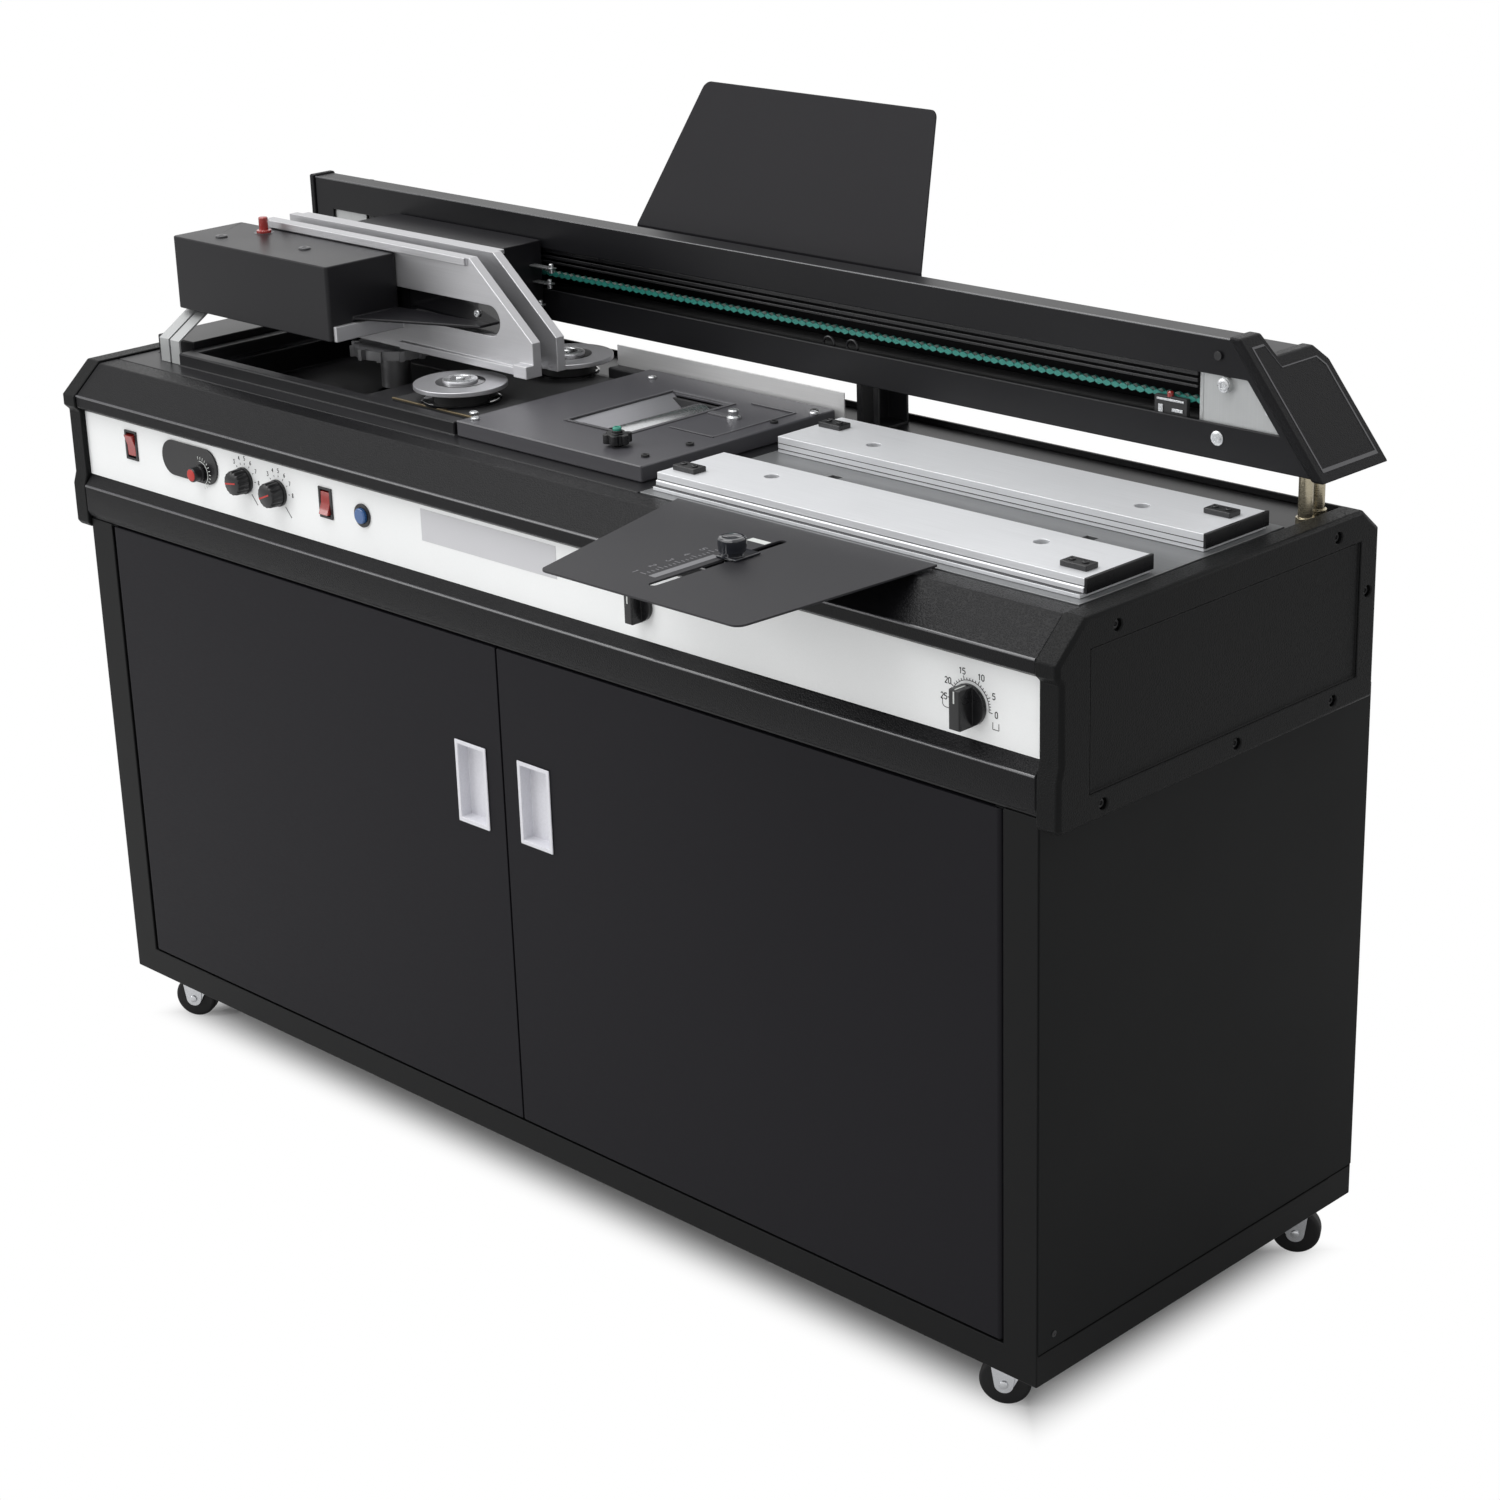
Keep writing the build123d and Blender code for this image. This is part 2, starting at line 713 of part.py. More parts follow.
cap_screw_radius = 4
cap_screw_places = [
    (slope_top_y + 40, bed_top - 14),
    (bed_rear - 60, bed_top - 14),
    (bed_rear - 13, 690),
    (bed_rear - 60, cap_bottom + 13),
    (0, cap_bottom + 13),
    (slope_top_y + 24, cap_bottom + 13),
]
for side, name in ((-1, "left"), (1, "right")):
    cap = build_end_cap(side)
    cap.part.label = f"{name}_end_cap"
    export_step(cap.part, f"parts/{name}_end_cap.step")

# ---------------------------------------------------------------- bed top
trim_top = bed_top + trim_height
splash_y = rear_deck_front + 1
splash_thickness = 1.5
splash_foot = 14
splash_x = (-182 * along, nip_plate_left - 10)
splash_top = housing_bottom - 6
posts = {"centre": 139 * along, "left": -620 * along}
post_half_x = 14
post_y = (140 * across, 185 * across)
rod_places = ((655 * along, 144 * across), (648 * along, 172 * across))
support_rod_radius = 6.5

trough_front = trim_front + 30
trough_rear = trim_rear - 30
deck_sheet = 4
deck_front = cover_top_rear + slide_fit
tank_hole_x = (window_left - 8, window_right + 8)
tank_hole_y = (window_front - 8, window_rear + 8)

with BuildPart() as deck_trim:
    deck_z = (bed_top - deck_sheet, bed_top)
    cut_z = (deck_z[0] - 1, deck_z[1] + 1)
    block((left, nip_plate_left - 1), (deck_front, trim_rear), deck_z)
    block((trim_left, trim_right), (trim_front, trim_rear), (bed_top, trim_top))
    trim_inner_x = (trim_left + trim_rim, trim_right + 1)
    trim_inner_y = (trim_front + trim_rim, trim_rear - trim_rim)
    block(trim_inner_x, trim_inner_y, (bed_top, trim_top + 1), Mode.SUBTRACT)
    notch_x = (disc_x - disc_radius, disc_x + disc_radius)
    block(notch_x, (trim_inner_y[1] - 1, trim_rear + 1), (bed_top, trim_top + 1), Mode.SUBTRACT)
    block((left + 14, trim_left - 3), (trim_front + 22, trim_rear), (bed_top, trim_top + 7))
    wall_y = (trough_front - shell, trough_rear + shell)
    block((trough_left - shell, trough_right + shell), wall_y, (trough_floor, deck_z[0]))
    trough_z = (trough_floor + shell, cut_z[1])
    block((trough_left, trough_right), (trough_front, trough_rear), trough_z, Mode.SUBTRACT)
    rod_z_axis(cutter_x, book_centre_y, (trough_floor - 1, trough_floor + shell + 1), 20, Mode.SUBTRACT)
    block(tank_hole_x, tank_hole_y, cut_z, Mode.SUBTRACT)
    rod_z_axis(star_knob_x, star_knob_y, cut_z, 5, Mode.SUBTRACT)
    block((left, right), (rear_deck_front, bed_rear - shell), (rear_deck_top - 2, rear_deck_top))
    block((left, right), (rear_deck_front, rear_deck_front + 2), (floor_top, rear_deck_top - 2))
deck_trim.part.label = "deck_trim"
export_step(deck_trim.part, "parts/deck_trim.step")

post_wall = 3
with BuildPart() as beam_supports:
    for x in posts.values():
        block((x - post_half_x, x + post_half_x), post_y, (rear_deck_top, beam_bottom))
        inner_x = (x - post_half_x + post_wall, x + post_half_x + 1)
        inner_y = (post_y[0] + post_wall, post_y[1] - post_wall)
        block(inner_x, inner_y, (rear_deck_top + post_wall, beam_bottom - post_wall), Mode.SUBTRACT)
        hole_x = (x - post_half_x + 2 * post_wall, x + post_half_x - 2 * post_wall)
        hole_z = (rear_deck_top + 2 * post_wall, beam_bottom - 2 * post_wall)
        block(hole_x, (post_y[0] - 1, post_y[0] + post_wall + 1), hole_z, Mode.SUBTRACT)
    for x, y in rod_places:
        rod_z_axis(x, y, (rear_deck_top, beam_bottom), support_rod_radius)
        rod_z_axis(x, y, (rear_deck_top, rear_deck_top + 9), support_rod_radius + 2)
beam_supports.part.label = "beam_supports"
export_step(beam_supports.part, "parts/beam_supports.step")

with BuildPart() as splash_plate:
    block(splash_x, (splash_y, splash_y + splash_thickness), (rear_deck_top, splash_top))
    foot_z = (rear_deck_top, rear_deck_top + splash_thickness)
    block(splash_x, (splash_y, splash_y + splash_foot), foot_z)
splash_plate.part.label = "splash_plate"
export_step(splash_plate.part, "parts/splash_plate.step")

# Side discs
disc_plate = (bed_top, bed_top + 4)
housing_z = (disc_plate[1], disc_z - 1)
disc_mount_margin = 40 * across
disc_mount_reach = 62 * along

with BuildPart() as disc_mount:
    mount_y = (disc_front_y - disc_mount_margin, trim_rear - trim_rim - 1)
    block((disc_x - disc_mount_reach, trim_right - 1), mount_y, disc_plate)
    for y in (disc_front_y, disc_rear_y):
        rod_z_axis(disc_x, y, housing_z, disc_radius - disc_housing_step)
        bore = (disc_plate[1] + 2, disc_z)
        rod_z_axis(disc_x, y, bore, disc_shaft_radius + running_fit, Mode.SUBTRACT)
disc_mount.part.label = "disc_mount"
export_step(disc_mount.part, "parts/disc_mount.step")

for name, y in (("front", disc_front_y), ("rear", disc_rear_y)):
    with BuildPart() as disc:
        rod_z_axis(disc_x, y, (disc_z, disc_z + disc_thickness), disc_radius)
        rod_z_axis(disc_x, y, (disc_z, disc_z + disc_thickness + disc_hub_height), disc_hub_radius)
        rod_z_axis(disc_x, y, (disc_plate[1] + 2.3, disc_z), disc_shaft_radius)
    disc.part.label = f"side_disc_{name}"
    export_step(disc.part, f"parts/side_disc_{name}.step")

# Milling cutter and the motors
motor_radius = 52
bracket_sheet = 2.5
bracket_y = (beam_front + beam_wall, beam_front + beam_wall + bracket_sheet)
motor_top = trough_floor - 0.5
cutter_teeth = 12
with BuildPart() as milling_cutter:
    rod_z_axis(cutter_x, book_centre_y, (cutter_top - cutter_thickness, cutter_top), cutter_radius)
    with Locations((cutter_x, book_centre_y, cutter_top - cutter_thickness / 2)):
        with PolarLocations(cutter_radius, cutter_teeth):
            Box(9, 5, cutter_thickness + 1)
    rod_z_axis(cutter_x, book_centre_y, (motor_top - 40, cutter_top), cutter_shaft_radius)
    rod_z_axis(cutter_x, book_centre_y, (trough_floor + shell + 6, cutter_top), 16)
milling_cutter.part.label = "milling_cutter"
export_step(milling_cutter.part, "parts/milling_cutter.step")

travel_motor_radius = 17
travel_motor_y = (chain_y + 9, chain_y + 40)
sprocket_shaft_radius = 4
limit_switch_x = (bracket_left - 54, bracket_left - 18)
motor_foot_reach = 80
motor_foot_half = 30
with BuildPart() as drive_motors:
    rod_z_axis(cutter_x, book_centre_y, (floor_top + 20, motor_top), motor_radius)
    shaft_z = (motor_top - 42, motor_top + 1)
    rod_z_axis(cutter_x, book_centre_y, shaft_z, cutter_shaft_radius + running_fit, Mode.SUBTRACT)
    foot_y = (book_centre_y - motor_foot_half, book_centre_y + motor_foot_half)
    for x in (cutter_x - motor_foot_reach, cutter_x + motor_foot_reach - 10):
        block((x, x + 10), foot_y, (floor_top, floor_top + 22))
    plate_x = (cutter_x - motor_foot_reach, cutter_x + motor_foot_reach)
    block(plate_x, foot_y, (floor_top + 20, floor_top + 26))
    rod_y_axis(drive_sprocket_x, travel_motor_y, sprocket_z, travel_motor_radius)
    motor_shaft = (bracket_y[1] + 0.5, travel_motor_y[0])
    rod_y_axis(drive_sprocket_x, motor_shaft, sprocket_z, sprocket_shaft_radius)
    switch_y = (beam_front + beam_wall, beam_front + beam_wall + 5)
    block(limit_switch_x, switch_y, (slot_bottom - 3, slot_bottom + 15))
drive_motors.part.label = "drive_motors"
export_step(drive_motors.part, "parts/drive_motors.step")

# Glue tank, roller and cover
roller_top = tank_cover_top - roller_drop
roller_z = roller_top - roller_radius
roller_y = (book_centre_y - roller_length / 2, book_centre_y + roller_length / 2)
tank_y = (roller_y[0] - tank_wall - 2, roller_y[1] + tank_wall + 2)
tank_z = (roller_z - 34, tank_cover_top - 4 - slide_fit)
roller_axle_radius = 5
with BuildPart() as glue_tank:
    block((window_left - 6, window_right + 6), tank_y, tank_z)
    inside_x = (window_left - 6 + tank_wall, window_right + 6 - tank_wall)
    inside_y = (tank_y[0] + tank_wall, tank_y[1] - tank_wall)
    block(inside_x, inside_y, (tank_z[0] + tank_wall, tank_z[1] + 1), Mode.SUBTRACT)
    axle_hole = (tank_y[0] - 1, tank_y[1] + 1)
    rod_y_axis(roller_x, axle_hole, roller_z, roller_axle_radius + running_fit, Mode.SUBTRACT)
    for x in (window_left, window_right - 10):
        block((x, x + 10), (book_centre_y - 40, book_centre_y + 40), (floor_top, tank_z[0]))
glue_tank.part.label = "glue_tank"
export_step(glue_tank.part, "parts/glue_tank.step")

with BuildPart() as glue_roller:
    rod_y_axis(roller_x, roller_y, roller_z, roller_radius)
    rod_y_axis(roller_x, (tank_y[0] - 6, tank_y[1] + 6), roller_z, roller_axle_radius)
glue_roller.part.label = "glue_roller"
export_step(glue_roller.part, "parts/glue_roller.step")

tank_cover_y = (trim_front, trim_rear)
lid = 4
with BuildPart() as tank_cover:
    lid_z = (tank_cover_top - tank_cover_lip, tank_cover_top)
    block((tank_left, tank_right), tank_cover_y, lid_z)
    under = (tank_cover_top - tank_cover_lip - 1, tank_cover_top - lid)
    under_y = (tank_cover_y[0] + lid, tank_cover_y[1] - lid)
    block((tank_left + lid, tank_right - lid), under_y, under, Mode.SUBTRACT)
    opening = (tank_cover_top - lid - 1, tank_cover_top + 1)
    block((window_left, window_right), (window_front, window_rear), opening, Mode.SUBTRACT)
    rod_z_axis(star_knob_x, star_knob_y, opening, star_stem_radius + running_fit, Mode.SUBTRACT)
tank_cover.part.label = "tank_cover"
export_step(tank_cover.part, "parts/tank_cover.step")

with BuildPart() as star_knob:
    lobe_z = (tank_cover_top + slide_fit + 3, tank_cover_top + slide_fit + star_knob_height - 3)
    rod_z_axis(star_knob_x, star_knob_y, lobe_z, star_knob_radius - 4)
    with Locations((star_knob_x, star_knob_y, (lobe_z[0] + lobe_z[1]) / 2)):
        with PolarLocations(star_knob_radius - 4, 6):
            Cylinder(4, lobe_z[1] - lobe_z[0])
    rod_z_axis(star_knob_x, star_knob_y, (tank_cover_top + slide_fit, lobe_z[1] + 3), 5)
    rod_z_axis(star_knob_x, star_knob_y, (tank_cover_top - 12, lobe_z[1]), star_stem_radius)
star_knob.part.label = "star_knob"
export_step(star_knob.part, "parts/star_knob.step")

# ---------------------------------------------------------------- nip
front_bar_rear = book_face_y - nip_gap
lug_xs = (nip_left + 100, nip_right - 100)
lug_y = front_bar_rear - 30
bar_bottom = nip_plate_top + 0.2
bar_top = nip_plate_top + nip_bar_height
bar_hole_radius = 7
bar_hole_inset = 92
bar_holes = (nip_left + bar_hole_inset, nip_right - bar_hole_inset)
bar_foot = 6


def bar_outline(near, far, foot):
    """Stepped section of a nip bar in (y, z); the step faces the operator."""
    return [
        (near - foot, bar_bottom),
        (near - foot, bar_bottom + 3.5),
        (near - foot / 3, bar_bottom + 3.5),
        (near - foot / 3, bar_bottom + 8),
        (near, bar_bottom + 9),
        (near, bar_top),
        (far, bar_top),
        (far, bar_bottom),
    ]


with BuildPart() as nip_bed:
    plate_z = (nip_plate_top - nip_plate_thickness, nip_plate_top)
    block((nip_plate_left, nip_plate_right), (nip_plate_front, nip_plate_rear), plate_z)
    for x in (nip_plate_left, nip_plate_right - 8):
        block((x, x + 8), (nip_plate_front + 30, nip_plate_rear - 10), (floor_top, plate_z[0]))
    for x in lug_xs:
        slot_x = (x - nip_lug_width / 2 - slide_fit, x + nip_lug_width / 2 + slide_fit)
        slot_y = (lug_y - nip_lug_length / 2 - 1, lug_y + nip_lug_length / 2 + nip_travel + 1)
        block(slot_x, slot_y, (plate_z[0] - 1, plate_z[1] + 1), Mode.SUBTRACT)
    rear_bar = bar_outline(book_face_y, book_face_y + rear_bar_width, 0.01)
    prism_along_x(rear_bar, (nip_left, nip_right))
    for x in bar_holes:
        rod_z_axis(x, book_face_y + 34, (bar_bottom + 4, bar_top + 1), bar_hole_radius, Mode.SUBTRACT)
nip_bed.part.label = "nip_bed"
export_step(nip_bed.part, "parts/nip_bed.step")

with BuildPart() as front_nip_bar:
    front_bar = bar_outline(front_bar_rear - front_bar_width + bar_foot, front_bar_rear, bar_foot)
    prism_along_x(front_bar, (nip_left, nip_right))
    for x in lug_xs:
        lug = (x - nip_lug_width / 2, x + nip_lug_width / 2)
        lug_ys = (lug_y - nip_lug_length / 2, lug_y + nip_lug_length / 2)
        block(lug, lug_ys, (nip_plate_top - 20, bar_bottom + 1))
    for x in bar_holes:
        rod_z_axis(x, front_bar_rear - 30, (bar_bottom + 4, bar_top + 1), bar_hole_radius, Mode.SUBTRACT)
front_nip_bar.part.label = "front_nip_bar"
export_step(front_nip_bar.part, "parts/front_nip_bar.step")

# ---------------------------------------------------------------- front cover tray
tray_bottom = bed_top + front_tray_lift
tray_top = tray_bottom + tray_sheet
tray_outline = [
    (front_tray_rear_x[0], front_tray_rear),
    (front_tray_front_x[0], front_tray_front),
    (front_tray_front_x[1], front_tray_front),
    (front_tray_rear_x[1], front_tray_rear),
]
with BuildPart() as cover_tray:
    with BuildSketch(Plane.XY.offset(tray_bottom)) as tray_profile:
        with BuildLine():
            Polyline(*tray_outline, close=True)
        make_face()
        fillet(tray_profile.vertices().group_by(Axis.Y)[0], 10)
    extrude(tray_profile.sketch, amount=tray_sheet)
    slot_length = tray_slot_rear - tray_slot_front
    with BuildSketch(Plane.XY.offset(tray_bottom - 1)) as tray_slot:
        with Locations(Location((tray_slot_x, (tray_slot_rear + tray_slot_front) / 2), 90)):
            SlotOverall(slot_length, tray_slot_width)
    extrude(tray_slot.sketch, amount=tray_sheet + 2, mode=Mode.SUBTRACT)
    for x in (front_tray_rear_x[0] + 30, front_tray_rear_x[1] - 30):
        rod_z_axis(x, front_tray_rear - 6, (bed_top, tray_bottom), 5)
cover_tray.part.label = "cover_tray"
export_step(cover_tray.part, "parts/cover_tray.step")

with BuildPart() as tray_stop_knob:
    base = tray_top + slide_fit
    rod_z_axis(tray_slot_x, stop_knob_y, (tray_bottom - 4, base + 4), 3)
    rod_z_axis(tray_slot_x, stop_knob_y, (tray_bottom - 4, tray_bottom - slide_fit), 7)
    block((tray_slot_x - 12, tray_slot_x + 12), (stop_knob_y - 8, stop_knob_y + 22), (base, base + 2))
    rod_z_axis(tray_slot_x, stop_knob_y, (base + 2, base + 6), 9)
    rod_z_axis(tray_slot_x, stop_knob_y, (base + 6, base + 18), 12)
tray_stop_knob.part.label = "tray_stop_knob"
export_step(tray_stop_knob.part, "parts/tray_stop_knob.step")

# ---------------------------------------------------------------- rail beam
def beam_end(z, margin=0):
    """X of the slanted right end at height z."""
    return beam_right_top + (beam_top - z) * beam_lean - margin


def beam_section(grow):
    """Outline of the beam in (y, z), moved outwards by grow."""
    lip = beam_front + beam_lip_width
    return [
        (beam_front - grow, beam_bottom - grow),
        (beam_front - grow, beam_top + grow),
        (lip + grow, beam_top + grow),
        (lip + 5 + grow, beam_shoulder + grow),
        (beam_rear - 10 + grow / 2, beam_shoulder + grow),
        (beam_rear + grow, beam_shoulder - 12 + grow / 2),
        (beam_rear + grow, beam_bottom - grow),
    ]


def slant_cut(offset, keep_low):
    """Take away what lies beyond the slanted plane, shifted by offset along X."""
    far = 400 if keep_low else -400
    low = beam_bottom - 40
    high = beam_top + 40
    wedge = [
        (beam_end(low) + offset, low),
        (beam_end(high) + offset, high),
        (beam_end(high) + offset + far, high),
        (beam_end(low) + offset + far, low),
    ]
    prism_along_y(wedge, (beam_front - 30, beam_rear + 30), Mode.SUBTRACT)


cap_wall = 12
cap_grow = 2
with BuildPart() as beam_rail:
    prism_along_x(beam_section(0), (beam_left, beam_right_bottom + 20))
    prism_along_x(beam_section(-beam_wall), (beam_left - 1, beam_right_bottom + 40), Mode.SUBTRACT)
    slant_cut(0, True)
    slot = [
        (slot_left, slot_bottom),
        (slot_left, slot_top),
        (beam_end(slot_top, slot_end_margin), slot_top),
        (beam_end(slot_bottom, slot_end_margin), slot_bottom),
    ]
    prism_along_y(slot, (beam_front - 1, beam_front + beam_wall + 1), Mode.SUBTRACT)
beam_rail.part.label = "beam_rail"
export_step(beam_rail.part, "parts/beam_rail.step")

with BuildPart() as beam_end_caps:
    prism_along_x(beam_section(cap_grow), (beam_right_top - 60, beam_right_bottom + 60))
    slant_cut(cap_wall, True)
    slant_cut(0, False)
    prism_along_x(beam_section(cap_grow), (beam_left - 8, beam_left))
beam_end_caps.part.label = "beam_end_caps"
export_step(beam_end_caps.part, "parts/beam_end_caps.step")

guide_right = bracket_left - 6
rib_thickness = 4
with BuildPart() as guide_shafts:
    for y, z in (upper_guide, lower_guide):
        rod_x_axis((beam_left, guide_right), y, z, guide_radius)
guide_shafts.part.label = "guide_shafts"
export_step(guide_shafts.part, "parts/guide_shafts.step")

chain_inner = sprocket_radius + slide_fit
chain_outer = chain_inner + 2 * chain_half_height
chain_y_span = (chain_y - chain_width / 2, chain_y + chain_width / 2)
with BuildPart() as sprocket_bracket:
    low, high = slot_bottom - 8, slot_top + 8
    outline = [
        (bracket_left, low),
        (bracket_left, high),
        (beam_end(high, 3), high),
        (beam_end(low, 3), low),
    ]
    prism_along_y(outline, bracket_y)
    rod_y_axis(drive_sprocket_x, (beam_front - 2, bracket_y[0]), sprocket_z, 7)
    block((slot_left - 12, idler_sprocket_x + 30), bracket_y, (low, high))
    rod_y_axis(idler_sprocket_x, (bracket_y[1], chain_y + 9), sprocket_z, sprocket_shaft_radius)
    rib_outline = [
        (bracket_y[1], beam_bottom + beam_wall),
        (bracket_y[1], upper_guide[1] + guide_radius),
        (upper_guide[0] + guide_radius, upper_guide[1] + guide_radius),
        (lower_guide[0] + guide_radius, slot_top - 10),
        (lower_guide[0] + guide_radius, beam_bottom + beam_wall),
    ]
    prism_along_x(rib_outline, (guide_right, guide_right + rib_thickness))
    window_y = (chain_y_span[0] - 2, chain_y_span[1] + 2)
    for z in (sprocket_z - chain_inner, sprocket_z + chain_inner):
        window_z = (z - 2 * chain_half_height - 2, z + 2 * chain_half_height + 2)
        block((guide_right - 1, guide_right + rib_thickness + 1), window_y, window_z, Mode.SUBTRACT)
    motor_plate = [
        (guide_right + rib_thickness, slot_bottom + 5),
        (guide_right + rib_thickness, upper_guide[1] + guide_radius),
        (beam_end(upper_guide[1] + guide_radius, 5), upper_guide[1] + guide_radius),
        (beam_end(slot_bottom + 5, 5), slot_bottom + 5),
    ]
    prism_along_y(motor_plate, (travel_motor_y[0] - 2, travel_motor_y[0]))
    shaft_way = (travel_motor_y[0] - 3, travel_motor_y[0] + 1)
    rod_y_axis(drive_sprocket_x, shaft_way, sprocket_z, sprocket_shaft_radius + 1, Mode.SUBTRACT)
sprocket_bracket.part.label = "sprocket_bracket"
export_step(sprocket_bracket.part, "parts/sprocket_bracket.step")

chain_middle = (drive_sprocket_x + idler_sprocket_x) / 2
chain_centres = drive_sprocket_x - idler_sprocket_x
with BuildPart() as drive_chain:
    with BuildSketch(Plane.XZ.offset(-chain_y_span[1])) as loop:
        with Locations((chain_middle, sprocket_z)):
            SlotCenterToCenter(chain_centres, 2 * chain_outer)
            SlotCenterToCenter(chain_centres, 2 * chain_inner, mode=Mode.SUBTRACT)
    extrude(loop.sketch, amount=chain_width)
drive_chain.part.label = "drive_chain"
export_step(drive_chain.part, "parts/drive_chain.step")


def build_sprocket(x):
    """Toothed wheel with a hub, bored to run on its shaft."""
    teeth_y = (chain_y - sprocket_width / 2, chain_y + sprocket_width / 2)
    root = sprocket_radius - 3
    with BuildPart() as sprocket:
        rod_y_axis(x, teeth_y, sprocket_z, root)
        with Locations(Location((x, chain_y, sprocket_z), (90, 0, 0))):
            with PolarLocations(root, sprocket_teeth):
                Box(5.4, 3.2, sprocket_width)
        hub_y = (teeth_y[0] - 2, teeth_y[1] + 4)
        rod_y_axis(x, hub_y, sprocket_z, 9)
        bore = (hub_y[0] - 1, hub_y[1] + 1)
        rod_y_axis(x, bore, sprocket_z, sprocket_shaft_radius + running_fit, Mode.SUBTRACT)
    return sprocket


for name, x in (("drive", drive_sprocket_x), ("idler", idler_sprocket_x)):
    sprocket = build_sprocket(x)
    sprocket.part.label = f"{name}_sprocket"
    export_step(sprocket.part, f"parts/{name}_sprocket.step")

# ---------------------------------------------------------------- carriage
arm_z = (slot_bottom + 2, slot_bottom + 10)
arm_length = 100
arm_x = (housing_left, housing_left + arm_length)
slider_x = (housing_left - 20, housing_left + arm_length + 20)
slider_front = chain_y + chain_width / 2 + 6
slider_bottom = beam_bottom + 2 * beam_wall
slider_outline = [
    (slider_front, slider_bottom),
    (slider_front, upper_guide[1] + 9),
    (upper_guide[0] + 7, upper_guide[1] + 9),
    (lower_guide[0] + 0.165 * beam_depth, 872),
    (lower_guide[0] + 0.165 * beam_depth, slider_bottom),
]
with BuildPart() as carriage_slider:
    prism_along_x(slider_outline, slider_x)
    for y, z in (upper_guide, lower_guide):
        bore = (slider_x[0] - 1, slider_x[1] + 1)
        rod_x_axis(bore, y, z, guide_radius + running_fit, Mode.SUBTRACT)
    block(arm_x, (housing_rear, slider_front), arm_z)
    lug_x = (arm_x[1] - 40, arm_x[1] - 20)
    lug_z = (sprocket_z - chain_outer, sprocket_z - chain_inner)
    block(lug_x, (chain_y_span[1] + 0.5, slider_front), lug_z)
carriage_slider.part.label = "carriage_slider"
export_step(carriage_slider.part, "parts/carriage_slider.step")

with BuildPart() as carriage_housing:
    block((housing_left, housing_right), (housing_front, housing_rear), (housing_bottom, housing_top))
    inside_x = (housing_left + shell, housing_right - shell)
    inside_y = (housing_front + shell, housing_rear - shell)
    block(inside_x, inside_y, (housing_bottom - 1, housing_top - shell), Mode.SUBTRACT)
    for x in rod_xs:
        rod_y_axis(x, (housing_front + shell, housing_front + 30), rod_z, rod_radius + 5)
        rod_y_axis(x, (housing_front - 1, housing_front + 31), rod_z, rod_radius + running_fit, Mode.SUBTRACT)
carriage_housing.part.label = "carriage_housing"
export_step(carriage_housing.part, "parts/carriage_housing.step")

jaw_outline = [
    (jaw_left, jaw_bottom),
    (jaw_left, jaw_top),
    (jaw_right_top, jaw_top),
    (jaw_right_bottom, jaw_shoulder),
    (jaw_right_bottom, jaw_bottom),
]
rear_jaw_y = (book_face_y, book_face_y + plate_thickness)
front_jaw_y = (front_jaw_rear - plate_thickness, front_jaw_rear)
flange_x = (jaw_left + 10, jaw_right_top - 4)
rod_front = front_jaw_y[0] - rod_reach
with BuildPart() as rear_jaw:
    prism_along_y(jaw_outline, rear_jaw_y)
    block(flange_x, (rear_jaw_y[1], rear_jaw_y[1] + 8), (jaw_top - 5, jaw_top))
    for x in rod_xs:
        rod_y_axis(x, (rod_front, housing_front + 28), rod_z, rod_radius)
rear_jaw.part.label = "rear_jaw"
export_step(rear_jaw.part, "parts/rear_jaw.step")

bar_thickness = 5
bar_height = 16
jaw_slot_left = box_right - 22
jaw_slot_right = jaw_right_top + 42
jaw_slot_z = (828, 859)
with BuildPart() as front_jaw:
    prism_along_y(jaw_outline, front_jaw_y)
    with BuildSketch(Plane.XZ.offset(-front_jaw_y[1] - 1)) as slot_profile:
        with Locations(((jaw_slot_left + jaw_slot_right) / 2, sum(jaw_slot_z) / 2)):
            SlotOverall(jaw_slot_right - jaw_slot_left, jaw_slot_z[1] - jaw_slot_z[0])
    extrude(slot_profile.sketch, amount=plate_thickness + 2, mode=Mode.SUBTRACT)
    block(flange_x, (front_jaw_y[0] - 4, front_jaw_y[0]), (jaw_top - 8, jaw_top))
    rail_y = (front_jaw_y[0] - 4, front_jaw_y[0])
    block((box_right, jaw_right_bottom), rail_y, (jaw_bottom, jaw_bottom + 8))
    foot_y = (front_jaw_y[0] - 10, front_jaw_y[0])
    block((jaw_right_bottom - 20, jaw_right_bottom), foot_y, (jaw_bottom, jaw_bottom + 13))
    bar_x = (box_right, box_right + bar_thickness)
    block(bar_x, (box_front + 4, front_jaw_y[0]), (box_bottom, box_bottom + bar_height))
    for x in rod_xs:
        through = (front_jaw_y[0] - 1, front_jaw_y[1] + 1)
        rod_y_axis(x, through, rod_z, rod_radius + running_fit, Mode.SUBTRACT)
front_jaw.part.label = "front_jaw"
export_step(front_jaw.part, "parts/front_jaw.step")

